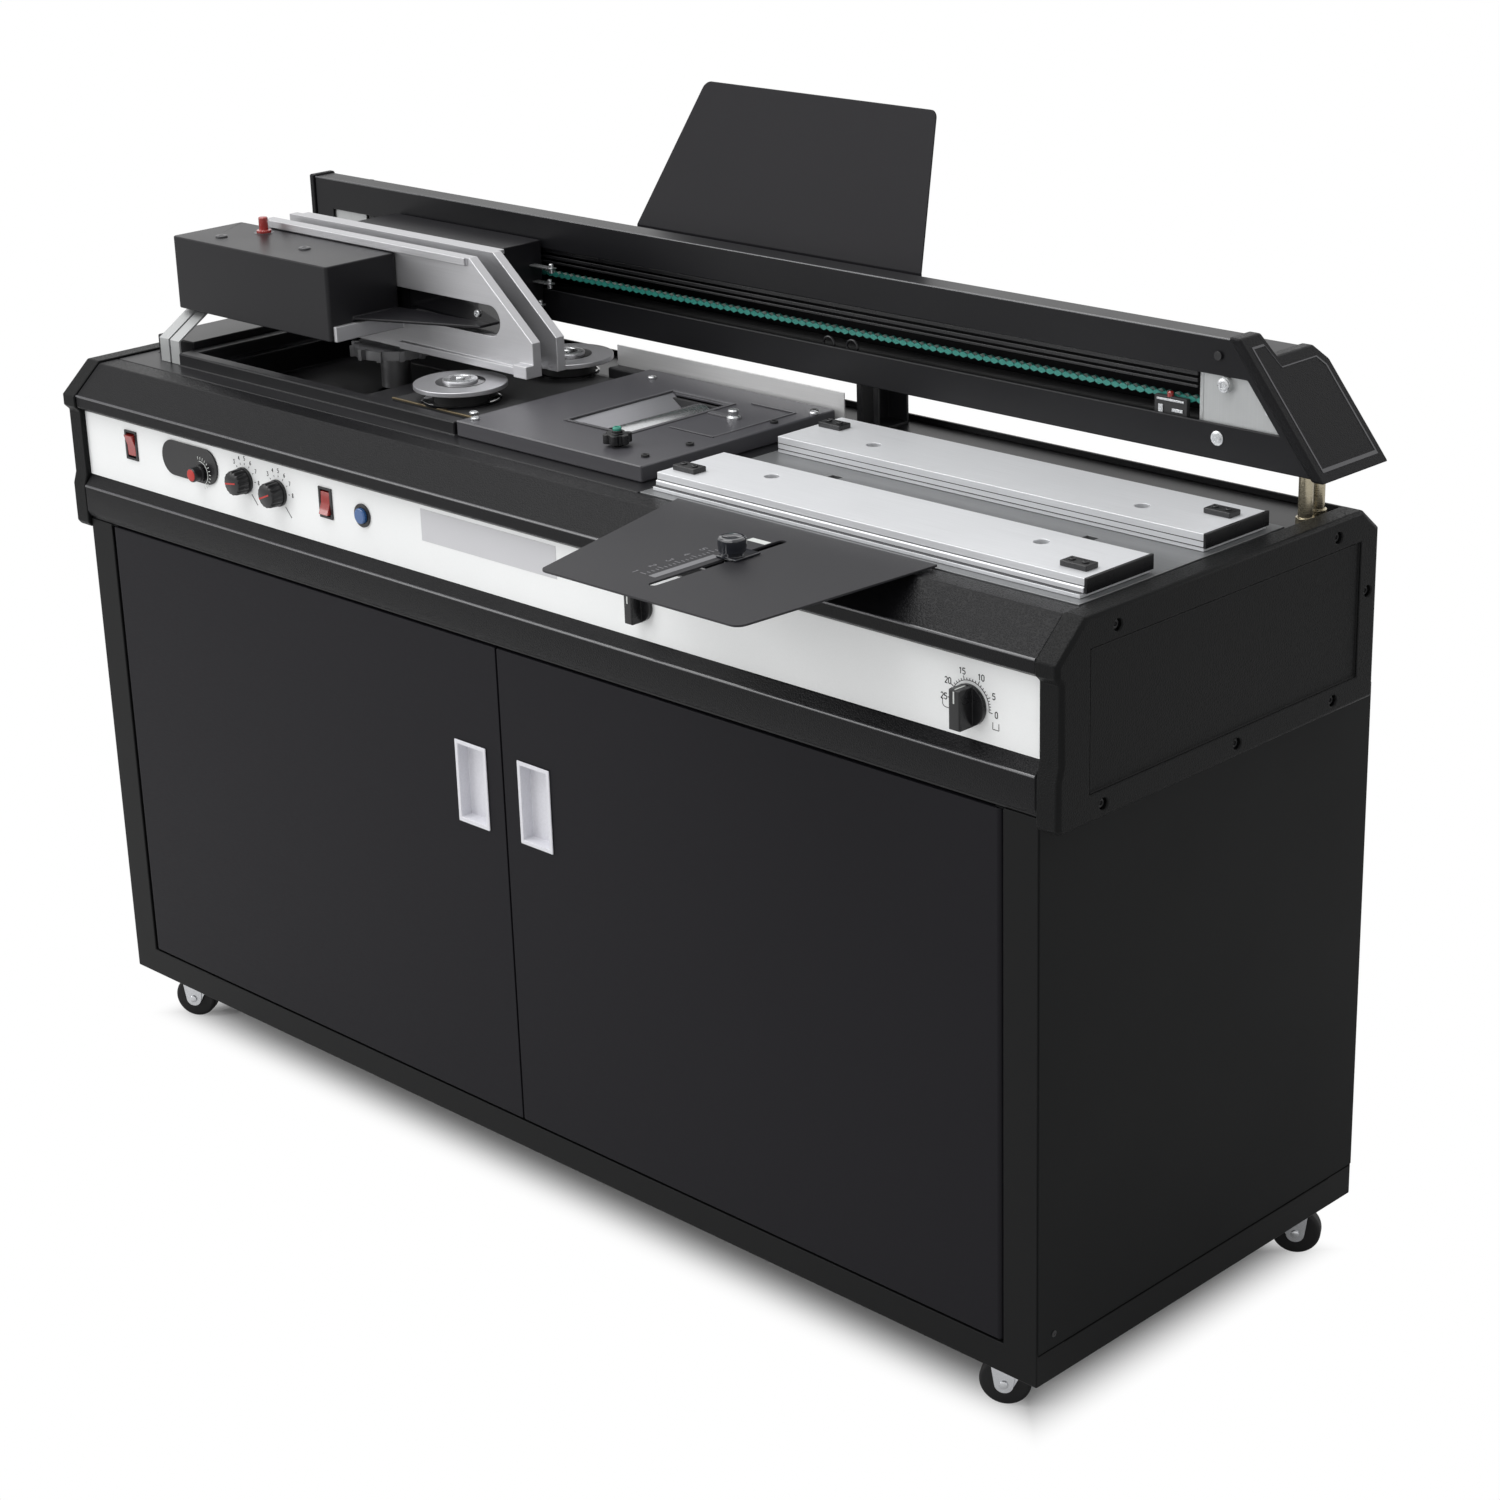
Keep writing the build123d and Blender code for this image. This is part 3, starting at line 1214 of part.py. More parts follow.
box_rear = front_jaw_y[0]
tongue = [
    (box_right, box_front + 30),
    (box_right, box_rear),
    (jaw_slot_right - 24, front_jaw_y[1]),
    (jaw_slot_right - 24, front_jaw_y[0] - 6),
]
with BuildPart() as clamp_cover:
    block((box_left, box_right), (box_front, box_rear), (box_bottom, box_top))
    fillet(upright_edges(), 4)
    inside = (box_left + box_wall, box_right - box_wall)
    inside_z = (box_bottom + box_wall, box_top - box_wall)
    block(inside, (box_front + box_wall, box_rear - box_wall), inside_z, Mode.SUBTRACT)
    block((jaw_left + box_wall, inside[1]), (box_front + box_wall, box_rear + 1), inside_z, Mode.SUBTRACT)
    knob_hole = (box_top - box_wall - 1, box_top + 1)
    rod_z_axis(release_knob_x, release_knob_y, knob_hole, 2.5 + running_fit, Mode.SUBTRACT)
    for x, y in ((box_left + 49, box_front + 29), (box_left + 172, box_front + 45)):
        rod_z_axis(x, y, (box_top, box_top + 1.5), 6)
    prism_along_z(tongue, (jaw_slot_z[0] + 7, jaw_slot_z[0] + 10))
clamp_cover.part.label = "clamp_cover"
export_step(clamp_cover.part, "parts/clamp_cover.step")

with BuildPart() as release_knob:
    top = box_top + release_knob_height
    rod_z_axis(release_knob_x, release_knob_y, (box_top + slide_fit, box_top + 3), release_knob_radius + 3)
    rod_z_axis(release_knob_x, release_knob_y, (box_top + 3, top), release_knob_radius)
    fillet(release_knob.faces().sort_by(Axis.Z)[-1].edges(), 1.5)
    rod_z_axis(release_knob_x, release_knob_y, (box_top - 10, box_top + 1), 2.5)
release_knob.part.label = "release_knob"
export_step(release_knob.part, "parts/release_knob.step")

# ---------------------------------------------------------------- rear tray and screws
tray_back = beam_rear + tray_sheet
tray_side = [
    (beam_rear, rear_tray_bottom),
    (beam_rear, rear_tray_bend),
    (beam_rear + rear_tray_lean, rear_tray_top),
    (tray_back + rear_tray_lean, rear_tray_top),
    (tray_back, rear_tray_bend),
    (tray_back, rear_tray_bottom),
]
half_low = rear_tray_width / 2
half_high = rear_tray_top_width / 2
with BuildPart() as rear_tray:
    prism_along_x(tray_side, (rear_tray_centre - half_low, rear_tray_centre + half_low))
    with BuildSketch(Plane.XZ.offset(-tray_back - rear_tray_lean - 1)) as leaf:
        with BuildLine():
            Polyline(
                (rear_tray_centre - half_low, rear_tray_bottom),
                (rear_tray_centre - half_low, rear_tray_bend),
                (rear_tray_centre - half_high, rear_tray_top),
                (rear_tray_centre + half_high, rear_tray_top),
                (rear_tray_centre + half_low, rear_tray_bend),
                (rear_tray_centre + half_low, rear_tray_bottom),
                close=True,
            )
        make_face()
        fillet(leaf.vertices().group_by(Axis.Z)[-1], rear_tray_corner)
    extrude(leaf.sketch, amount=rear_tray_lean + tray_sheet + 2, mode=Mode.INTERSECT)
rear_tray.part.label = "rear_tray"
export_step(rear_tray.part, "parts/rear_tray.step")

lid_screws = [
    (tank_right - 18, -78 * across),
    (tank_right - 22, trim_front + 26),
    (tank_right - 12, 29 * across),
    (tank_right - 11, trim_rear - 18),
]
with BuildPart() as casing_screws:
    for side in (-1, 1):
        outer = side * (right + cap_thickness - 6)
        for y, z in cap_screw_places:
            span = sorted((outer, outer + side * 3))
            rod_x_axis(span, y, z, cap_screw_radius)
            rod_x_axis(sorted((outer + side * 1.5, outer + side * 4)), y, z, 2, Mode.SUBTRACT)
    for x, y in lid_screws:
        rod_z_axis(x, y, (tank_cover_top, tank_cover_top + 2.5), cap_screw_radius)
        rod_z_axis(x, y, (tank_cover_top + 1, tank_cover_top + 3), 2, Mode.SUBTRACT)
    rod_y_axis(beam_right_top - 12, (beam_front - 2.5, beam_front), beam_top - 16, cap_screw_radius)
casing_screws.part.label = "casing_screws"
export_step(casing_screws.part, "parts/casing_screws.step")
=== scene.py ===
"""Looks of the floor-standing perfect binding machine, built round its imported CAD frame."""

import json
import math

import bmesh
import bpy
import numpy as np
from mathutils import Matrix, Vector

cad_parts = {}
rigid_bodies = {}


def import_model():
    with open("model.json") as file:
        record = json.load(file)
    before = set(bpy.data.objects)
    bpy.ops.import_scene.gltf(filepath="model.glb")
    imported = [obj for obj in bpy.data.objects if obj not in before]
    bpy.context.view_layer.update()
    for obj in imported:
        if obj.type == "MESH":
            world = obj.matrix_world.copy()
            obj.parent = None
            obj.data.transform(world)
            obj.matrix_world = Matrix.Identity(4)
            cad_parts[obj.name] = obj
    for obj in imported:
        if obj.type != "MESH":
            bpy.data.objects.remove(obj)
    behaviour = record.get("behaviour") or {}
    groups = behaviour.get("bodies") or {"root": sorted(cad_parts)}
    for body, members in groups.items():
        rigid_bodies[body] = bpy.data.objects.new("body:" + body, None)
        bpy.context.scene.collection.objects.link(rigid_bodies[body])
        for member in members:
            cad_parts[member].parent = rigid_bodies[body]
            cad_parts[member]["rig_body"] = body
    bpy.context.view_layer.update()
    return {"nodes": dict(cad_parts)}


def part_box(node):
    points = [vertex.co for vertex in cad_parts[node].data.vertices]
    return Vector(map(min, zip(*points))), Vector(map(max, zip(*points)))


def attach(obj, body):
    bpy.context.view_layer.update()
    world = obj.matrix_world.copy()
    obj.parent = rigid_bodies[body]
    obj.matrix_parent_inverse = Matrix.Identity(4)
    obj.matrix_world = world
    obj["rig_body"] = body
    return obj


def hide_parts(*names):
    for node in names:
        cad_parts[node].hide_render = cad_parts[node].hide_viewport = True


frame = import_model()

MM = 0.001
ROOT = "root"
CORNERS = ("front_left", "front_right", "rear_left", "rear_right")
CASTER_HEADING = 30
SMOOTH_BELOW = math.radians(35)
ROUND_ABOVE = math.radians(38)
FLAT_BELOW = math.radians(0.6)
INK = 0.2
WHITE = (1, 1, 1, 1)
nodes = frame["nodes"]


# ---------------------------------------------------------------- camera and lamps
def stood(holder, right, up, back, place):
    """Object for a camera or lamp: its axes are the three unit vectors."""
    made = bpy.data.objects.new(holder.name, holder)
    bpy.context.scene.collection.objects.link(made)
    pose = np.eye(4)
    pose[:3] = np.stack([right, up, back, place], axis=1)
    made.matrix_world = Matrix(pose.tolist())
    return made


def aim_camera(place, azimuth, elevation, roll, focal):
    """Camera whose back vector is (sin a cos e, -cos a cos e, sin e); right is forward x up,
    and the right and up vectors are then both turned by the roll angle."""
    flat = math.cos(elevation)
    back = np.array([math.sin(azimuth) * flat, -math.cos(azimuth) * flat, math.sin(elevation)])
    right = np.cross(-back, [0, 0, 1])
    right /= np.linalg.norm(right)
    up = np.cross(right, -back)
    c, s = math.cos(roll), math.sin(roll)
    optics = bpy.data.cameras.new("studio_camera")
    optics.sensor_width = 36
    optics.lens = focal
    optics.clip_start, optics.clip_end = 0.05, 60
    camera = stood(optics, c * right + s * up, c * up - s * right, back, place)
    bpy.context.scene.camera = camera


def soft_lamp(name, place, target, size, power):
    """Area lamp at place that faces target: its -Z axis is the unit vector between them."""
    light = bpy.data.lights.new(name, "AREA")
    light.shape = "RECTANGLE"
    light.size, light.size_y = size
    light.energy = power
    away = np.subtract(place, target)
    away = away / np.linalg.norm(away)
    side = np.cross([0, 0, 1], away)
    side /= np.linalg.norm(side)
    stood(light, side, np.cross(away, side), away, place)


# ---------------------------------------------------------------- node trees and finishes
class Signal:
    """A socket of a node tree; Python's operators on it add Math nodes."""

    def __init__(self, owner, socket):
        self.owner = owner
        self.socket = socket

    def maths(self, operation, *others, swap=False):
        """The Math node with this socket and the others, in turned order if swap is set."""
        values = [self, *others]
        if swap:
            values.reverse()
        return self.owner.node("Math", {"operation": operation}, dict(enumerate(values)))

    def __add__(self, other):
        return self.maths("ADD", other)

    __radd__ = __add__

    def __sub__(self, other):
        return self.maths("SUBTRACT", other)

    def __rsub__(self, other):
        return self.maths("SUBTRACT", other, swap=True)

    def __mul__(self, other):
        return self.maths("MULTIPLY", other)

    __rmul__ = __mul__

    def __gt__(self, other):
        return self.maths("GREATER_THAN", other)

    def __lt__(self, other):
        return self.maths("LESS_THAN", other)

    def near(self, level, width):
        """1 where the value is within width of level, and 0 elsewhere."""
        return self.maths("COMPARE", level, width)

    def fade(self, low, high):
        """0 below low, 1 above high and a smooth S between them."""
        return self.owner.node(
            "MapRange",
            {"interpolation_type": "SMOOTHSTEP"},
            {"Value": self, "From Min": low, "From Max": high},
        )


class Grower:
    """A node tree that is grown one node at a time."""

    def __init__(self, tree):
        self.tree = tree

    def node(self, kind, settings=(), values=(), out=0):
        """A new node of that kind: its settings first, then the values or links of its sockets."""
        made = self.tree.nodes.new("ShaderNode" + kind)
        for key, value in dict(settings).items():
            setattr(made, key, value)
        for key, value in dict(values).items():
            self.link(made.inputs[key], value)
        return Signal(self, made.outputs[out])

    def link(self, socket, value):
        """Put a number, a colour or a signal on a socket."""
        if isinstance(value, Signal):
            self.tree.links.new(value.socket, socket)
        else:
            socket.default_value = value


class Finish(Grower):
    """A procedural finish: one Principled shader whose changing sockets take signals."""

    def __init__(self, name, colour, roughness, metallic=0.0, specular=0.5, coat=0.0):
        self.material = bpy.data.materials.new(name)
        self.material.use_nodes = True
        super().__init__(self.material.node_tree)
        self.shader = self.tree.nodes["Principled BSDF"]
        self.colour = colour
        self.roughness = roughness
        self.set("Base Color", (*colour, 1.0))
        self.set("Roughness", roughness)
        self.set("Metallic", metallic)
        self.set("Specular IOR Level", specular)
        self.set("Coat Weight", coat)
        self.point = self.node("TexCoord", out="Object")

    def set(self, name, value):
        """Put a value on the shader's own socket."""
        self.link(self.shader.inputs[name], value)

    def axis(self, name):
        """One coordinate of the point, in metres."""
        return self.node("SeparateXYZ", values={"Vector": self.point}, out=name)

    def noise(self, scale, detail, stretch=None):
        """Fractal noise between about 0.25 and 0.75; stretch multiplies each coordinate first."""
        vector = self.point
        if stretch:
            vector = self.node("Mapping", values={"Vector": vector, "Scale": stretch})
        return self.node("TexNoise", values={"Vector": vector, "Scale": scale, "Detail": detail})

    def mix(self, first, second, share):
        """Colour that goes from first to second as share goes from 0 to 1."""
        return self.node("Mix", {"data_type": "RGBA"}, {0: share, 6: first, 7: second}, out=2)

    def vary_colour(self, dark, light, share):
        """Base colour between its dark and light multiples."""
        low, high = ((*[c * factor for c in self.colour], 1) for factor in (dark, light))
        self.set("Base Color", self.mix(low, high, share))

    def vary_roughness(self, spread, share):
        """Roughness within spread of its own value; share runs from 0 to 1."""
        self.set("Roughness", (share - 0.5) * (2 * spread) + self.roughness)

    def relief(self, height, strength, depth):
        """Bump of the height signal, depth metres high."""
        values = {"Height": height, "Strength": strength, "Distance": depth}
        self.set("Normal", self.node("Bump", values=values))


def powder_coat(name, colour, roughness, specular, grain=900, strength=0.12):
    """Satin powder coat: a fine orange peel, and slow clouds in colour and gloss."""
    finish = Finish(name, colour, roughness, specular=specular)
    peel = finish.noise(grain, 3)
    clouds = finish.noise(5, 3)
    finish.vary_colour(0.85, 1.15, clouds * 0.7 + peel * 0.3)
    finish.vary_roughness(0.08, clouds)
    finish.relief(peel, strength, 0.0004)
    return finish


def brushed_metal(name, colour, roughness, along, metallic=1.0, strength=0.05):
    """Metal with fine scratches: noise that is stretched along one axis."""
    finish = Finish(name, colour, roughness, metallic=metallic)
    scale = [900.0, 900.0, 900.0]
    scale[along] = 14.0
    lines = finish.noise(1, 2, scale)
    clouds = finish.noise(9, 2)
    finish.vary_colour(0.93, 1.07, lines)
    finish.vary_roughness(0.1, lines * 0.6 + clouds * 0.4)
    finish.relief(lines, strength, 0.0003)
    return finish


def moulded(name, colour, roughness, specular=0.4, grain=450, strength=0.08, coat=0.0):
    """Moulded plastic: a slight grain and faint flow marks."""
    finish = Finish(name, colour, roughness, specular=specular, coat=coat)
    speckle = finish.noise(grain, 2)
    finish.vary_colour(0.92, 1.08, speckle)
    finish.vary_roughness(0.06, finish.noise(30, 2))
    finish.relief(speckle, strength, 0.0002)
    return finish


def leather_grain(name, colour, roughness, specular):
    """Textured moulding: raised pebbles between the cell edges of a fine Voronoi pattern."""
    finish = Finish(name, colour, roughness, specular=specular)
    edges = {"feature": "DISTANCE_TO_EDGE"}
    cells = finish.node("TexVoronoi", edges, {"Vector": finish.point, "Scale": 420})
    pebbles = cells.fade(0.0, 0.28)
    fine = finish.noise(1300, 2)
    finish.vary_colour(0.8, 1.2, pebbles * 0.5 + finish.noise(6, 2) * 0.5)
    finish.vary_roughness(0.1, pebbles)
    finish.relief(pebbles + fine * 0.4, 0.3, 0.0004)
    return finish


def woven_coat(name, colour, roughness, specular):
    """Door enamel: short level streaks of fine texture over soft clouds."""
    finish = Finish(name, colour, roughness, specular=specular)
    streaks = finish.noise(1, 2, (160.0, 160.0, 1100.0))
    clouds = finish.noise(3, 3)
    finish.vary_colour(0.82, 1.18, streaks * 0.55 + clouds * 0.45)
    finish.vary_roughness(0.08, streaks)
    finish.relief(streaks, 0.12, 0.0004)
    return finish


# enamels and coats
frame_enamel = powder_coat("frame_enamel", (0.0056, 0.0058, 0.0060), 0.42, 0.11)
side_enamel = powder_coat("side_enamel", (0.0060, 0.0064, 0.0066), 0.5, 0.10, 700)
door_enamel = woven_coat("door_enamel", (0.0082, 0.0078, 0.0100), 0.5, 0.11)
bed_enamel = powder_coat("bed_enamel", (0.0100, 0.0100, 0.0112), 0.34, 0.26)
box_enamel = powder_coat("box_enamel", (0.0098, 0.0096, 0.0112), 0.34, 0.24, 1200, 0.06)
beam_enamel = powder_coat("beam_enamel", (0.0080, 0.0080, 0.0092), 0.34, 0.2, 1100, 0.06)
tray_coat = powder_coat("tray_coat", (0.0190, 0.0185, 0.0215), 0.52, 0.3, 1500, 0.3)
leaf_coat = powder_coat("leaf_coat", (0.0096, 0.0092, 0.0110), 0.5, 0.15, 1500, 0.25)
black_moulding = leather_grain("black_moulding", (0.0042, 0.0042, 0.0050), 0.40, 0.14)
cap_moulding = leather_grain("cap_moulding", (0.0046, 0.0048, 0.0050), 0.45, 0.11)
panel_silver = powder_coat("panel_silver", (0.84, 0.85, 0.85), 0.36, 0.4, 1500, 0.03)
plate_grey = powder_coat("plate_grey", (0.56, 0.56, 0.58), 0.4, 0.4, 1500, 0.03)
tank_paint = powder_coat("tank_paint", (0.058, 0.057, 0.064), 0.38, 0.45)
rim_steel = powder_coat("rim_steel", (0.090, 0.089, 0.096), 0.34, 0.45)
dark_cast = powder_coat("dark_cast", (0.030, 0.030, 0.031), 0.55, 0.3, 500, 0.3)

# metals
jaw_alloy = brushed_metal("jaw_alloy", (0.50, 0.50, 0.515), 0.42, 0, 0.75)
zinc_plate = brushed_metal("zinc_plate", (0.44, 0.45, 0.45), 0.4, 2, 0.4)
splash_steel = brushed_metal("splash_steel", (0.62, 0.62, 0.62), 0.4, 0, 0.4)
disc_steel = brushed_metal("disc_steel", (0.50, 0.50, 0.52), 0.38, 1, 0.8)
bright_steel = brushed_metal("bright_steel", (0.70, 0.71, 0.72), 0.25, 0)
tool_steel = brushed_metal("tool_steel", (0.34, 0.34, 0.35), 0.35, 0)
race_chrome = brushed_metal("race_chrome", (0.60, 0.61, 0.62), 0.28, 1, 0.9)
ramp_steel = brushed_metal("ramp_steel", (0.34, 0.34, 0.36), 0.35, 1, 0.6)
screw_grey = brushed_metal("screw_grey", (0.10, 0.10, 0.105), 0.35, 0, 0.6)
bronze = brushed_metal("bronze", (0.30, 0.24, 0.15), 0.4, 1, 0.9)
fork_chrome = moulded("fork_chrome", (0.62, 0.63, 0.65), 0.25)
fork_chrome.set("Metallic", 0.85)

# plastics, rubber and ink
pull_plastic = moulded("pull_plastic", (0.68, 0.68, 0.72), 0.4)
knob_black = moulded("knob_black", (0.008, 0.008, 0.009), 0.28, 0.45)
knob_gloss = moulded("knob_gloss", (0.007, 0.009, 0.015), 0.1, 0.6, 200, 0.02, 0.6)
gloss_black = moulded("gloss_black", (0.006, 0.006, 0.007), 0.12, 0.6, 200, 0.02, 0.5)
# painted highlight: a lighter gloss for the beads and the seam that stand for highlights on
# rounded edges
painted_highlight_gloss = moulded("painted_highlight_gloss", (0.045, 0.045, 0.050), 0.22, 0.7, 300, 0.03)
# painted shade: black for the strip that stands for the shadow in the gap under the side sheets
gap_shade_black = moulded("gap_shade_black", (0.001, 0.001, 0.001), 0.8, 0.05)
tyre_rubber = moulded("tyre_rubber", (0.007, 0.007, 0.0075), 0.55, 0.3, 700, 0.2)
rocker_red = moulded("rocker_red", (0.30, 0.022, 0.018), 0.16, 0.5, 200, 0.02, 0.6)
button_blue = moulded("button_blue", (0.022, 0.090, 0.26), 0.2, 0.5, 200, 0.02, 0.5)
oxide_black = moulded("oxide_black", (0.010, 0.010, 0.011), 0.35, 0.5, 500)
# painted reflection: the steel chain's plates are teal for the reflections on them, and the
# rollers' near-white is painted highlight on steel
chain_painted_reflection_teal = moulded("chain_painted_reflection_teal", (0.030, 0.230, 0.190), 0.35, 0.5)
roller_painted_highlight_white = moulded("roller_painted_highlight_white", (0.62, 0.72, 0.68), 0.35, 0.5)
stud_green = moulded("stud_green", (0.05, 0.30, 0.22), 0.25, 0.5)
ruler_grey = moulded("ruler_grey", (0.19, 0.19, 0.20), 0.5, 0.3)
strip_grey = moulded("strip_grey", (0.17, 0.17, 0.18), 0.4, 0.4)
ink_black = moulded("ink_black", (0.012, 0.012, 0.013), 0.6, 0.2)
ink_white = moulded("ink_white", (0.62, 0.64, 0.62), 0.6, 0.3)
ink_red = moulded("ink_red", (0.42, 0.025, 0.02), 0.45, 0.4)


def nip_metal():
    """Brushed alloy of the nip bars with painted shade: dark lines at the heights of their steps,
    where the grooves' shadow falls; the plate below the bars is darker ground steel."""
    plate_top, groove_shade_heights, groove_shade_half = 0.76415, (0.7680, 0.7733), 0.0004
    finish = brushed_metal("nip_metal", (0.74, 0.75, 0.77), 0.42, 0, 0.35, 0.06)
    bare = Signal(finish, finish.shader.inputs["Base Color"].links[0].from_socket)
    height = finish.axis("Z")
    below = height < plate_top
    lower, upper = (height.near(level, groove_shade_half) for level in groove_shade_heights)
    plate = finish.mix(bare, (0.20, 0.205, 0.21, 1), below)
    # painted shade: the dark lines at the step heights stand for the shadow in the grooves
    finish.set("Base Color", finish.mix(plate, (0.05, 0.05, 0.054, 1), lower + upper))
    finish.set("Metallic", 0.35 + 0.3 * below)
    return finish


def two_metals():
    """Support metal: dark paint left of the parting plane, and turned brass-like rods right of
    it."""
    parting_plane = 0.55
    finish = Finish("support_metal", (0.02, 0.02, 0.022), 0.45, specular=0.4)
    rods = finish.axis("X") > parting_plane
    rings = finish.noise(1, 2, (30.0, 30.0, 900.0))
    brass = finish.mix((0.46, 0.40, 0.27, 1), (0.66, 0.60, 0.46, 1), rings)
    finish.set("Base Color", finish.mix((0.020, 0.020, 0.022, 1), brass, rods))
    finish.set("Metallic", rods * 0.9)
    finish.set("Roughness", 0.5 - rods * 0.25 + rings * 0.05)
    finish.relief(rings, 0.06, 0.0002)
    return finish


nip_alloy = nip_metal()
support_metal = two_metals()


# ---------------------------------------------------------------- making pieces
DIGITS = {
    "0": [(0, 1), (0, 5), (1, 6), (2, 6), (3, 5), (3, 1), (2, 0), (1, 0), (0, 1)],
    "1": [(0.5, 4.8), (1.8, 6), (1.8, 0)],
    "2": [(0, 5), (1, 6), (2, 6), (3, 5), (3, 4), (0, 0), (3, 0)],
    "3": [(0, 6), (3, 6), (1.4, 3.6), (2.2, 3.5), (3, 2.6), (3, 1), (2, 0), (1, 0), (0, 0.8)],
    "4": [(2.2, 0), (2.2, 6), (0, 2), (3, 2)],
    "5": [(3, 6), (0.3, 6), (0, 3.4), (2, 3.6), (3, 2.6), (3, 1), (2, 0), (1, 0), (0, 0.8)],
    "6": [(2.6, 6), (0.6, 3.8), (0, 2), (0.6, 0.4), (1.5, 0), (2.6, 0.6), (3, 2), (2.2, 3.4),
          (0.6, 3.2)],
    "7": [(0, 6), (3, 6), (1, 0)],
    "8": [(1.5, 3.2), (0.2, 4.6), (1, 6), (2, 6), (2.8, 4.6), (1.5, 3.2), (0, 1.6), (1, 0),
          (2, 0), (3, 1.6), (1.5, 3.2)],
}


class Shape:
    """Gathers surfaces, each worked out as whole arrays in millimetres, into one mesh."""

    def __init__(self):
        self.points = []
        self.faces = []
        self.count = 0

    def sheet(self, grid):
        """Quads between the neighbours of a grid (rows, columns, 3) whose last column joins the
        first; their numbers start after the points that are there."""
        rows, columns = grid.shape[:2]
        r, c = np.meshgrid(np.arange(rows - 1), np.arange(columns), indexing="ij")
        here, above = r * columns, (r + 1) * columns
        after = (c + 1) % columns
        quads = np.stack([here + c, here + after, above + after, above + c], axis=-1)
        numbers = quads.reshape(-1, 4) + self.count
        self.faces += [tuple(face) for face in numbers.tolist()]
        self.points.append(grid.reshape(-1, 3))
        self.count += rows * columns
        return self

    def barrel(self, grid):
        """A sheet with a flat face over its first row and another over its last."""
        rows, columns = grid.shape[:2]
        first, last = self.count, self.count + (rows - 1) * columns
        self.sheet(grid)
        self.faces += [tuple(range(start, start + columns)) for start in (first, last)]
        return self

    def turned(self, profile, centre, axis, steps=32, flutes=0):
        """Turned body: a profile point (r, h) becomes (r cos t, r sin t, h) from the centre, with
        t round the circle, and h lies along the axis. With flutes, a point (r, h, d) has the
        radius r (1 + d cos(flutes t))."""
        profile = np.asarray(profile, float)
        t = np.linspace(0, 2 * np.pi, steps, endpoint=False)
        a, b = [i for i in range(3) if i != axis]
        ring = np.zeros((len(profile), steps, 3))
        radius = profile[:, :1] * (1 + (profile[:, 2:3] if flutes else 0) * np.cos(flutes * t))
        ring[:, :, a] = radius * np.cos(t)
        ring[:, :, b] = radius * np.sin(t)
        ring[:, :, axis] = profile[:, 1:2]
        return self.barrel(ring + np.asarray(centre, float))

    def prisms(self, outlines, axis, low, high):
        """Straight prisms: each outline's points (u, v), in the order of the two other axes, are
        kept at low and at high along the axis; both may differ from outline to outline."""
        outlines = np.asarray(outlines, float)
        count, corners = outlines.shape[:2]
        a, b = [i for i in range(3) if i != axis]
        grids = np.zeros((count, 2, corners, 3))
        grids[..., a] = outlines[:, None, :, 0]
        grids[..., b] = outlines[:, None, :, 1]
        grids[:, 0, :, axis] = np.reshape(low, (-1, 1))
        grids[:, 1, :, axis] = np.reshape(high, (-1, 1))
        for grid in grids:
            self.barrel(grid)
        return self

    def prism(self, outline, axis, low, high):
        """One straight prism."""
        return self.prisms([outline], axis, low, high)

    def spin(self, degrees, place):
        """Turn all points so far about the Z axis, then move them by place."""
        c, s = math.cos(math.radians(degrees)), math.sin(math.radians(degrees))
        turn = np.array([(c, s, 0), (-s, c, 0), (0, 0, 1)])
        self.points = [points @ turn + place for points in self.points]
        return self

    def bar(self, x, y, z):
        """Prism over the rectangle x by y, from z[0] to z[1]."""
        return self.prism([(x[0], y[0]), (x[1], y[0]), (x[1], y[1]), (x[0], y[1])], 2, *z)

    def cap_screw(self, centre, axis, radius, height):
        """Turned head of a socket screw: a rounded rim, and a recess of under half its radius."""
        shares = [(0.94, 0.0), (1.0, 0.12), (1.0, 0.72), (0.86, 1.0), (0.5, 1.0), (0.44, 0.45)]
        profile = [(radius * r, height * h) for r, h in shares]
        return self.turned(profile, centre, axis, 24)

    def strokes(self, starts, ends, width, axis, low, high):
        """A thin bar from each start to its end, in the plane of the two other axes: with n the
        unit normal of end - start, its corners are start -/+ n w/2 and end +/- n w/2."""
        starts, ends = np.asarray(starts, float), np.asarray(ends, float)
        along = ends - starts
        along /= np.linalg.norm(along, axis=1, keepdims=True)
        across = np.stack([-along[:, 1], along[:, 0]], 1) * width / 2
        corners = [starts - across, ends - across, ends + across, starts + across]
        return self.prisms(np.stack(corners, 1), axis, low, high)

    def line(self, path, width, axis, low, high):
        """Strokes from each point of a path to its next."""
        return self.strokes(path[:-1], path[1:], width, axis, low, high)

    def digits(self, text, place, height, axis, low, high):
        """A number in strokes: each digit is a line on a 3 by 6 grid, the digits stand 4.4 grid
        units apart, and the middle of the number is at place."""
        unit = height / 6
        start = np.asarray(place, float) - unit * np.array([(len(text) - 1) * 2.2 + 1.5, 3])
        for order, digit in enumerate(text):
            path = start + unit * (np.array(DIGITS[digit], float) + [4.4 * order, 0])
            self.line(path, 0.15 * height, axis, low, high)
        return self

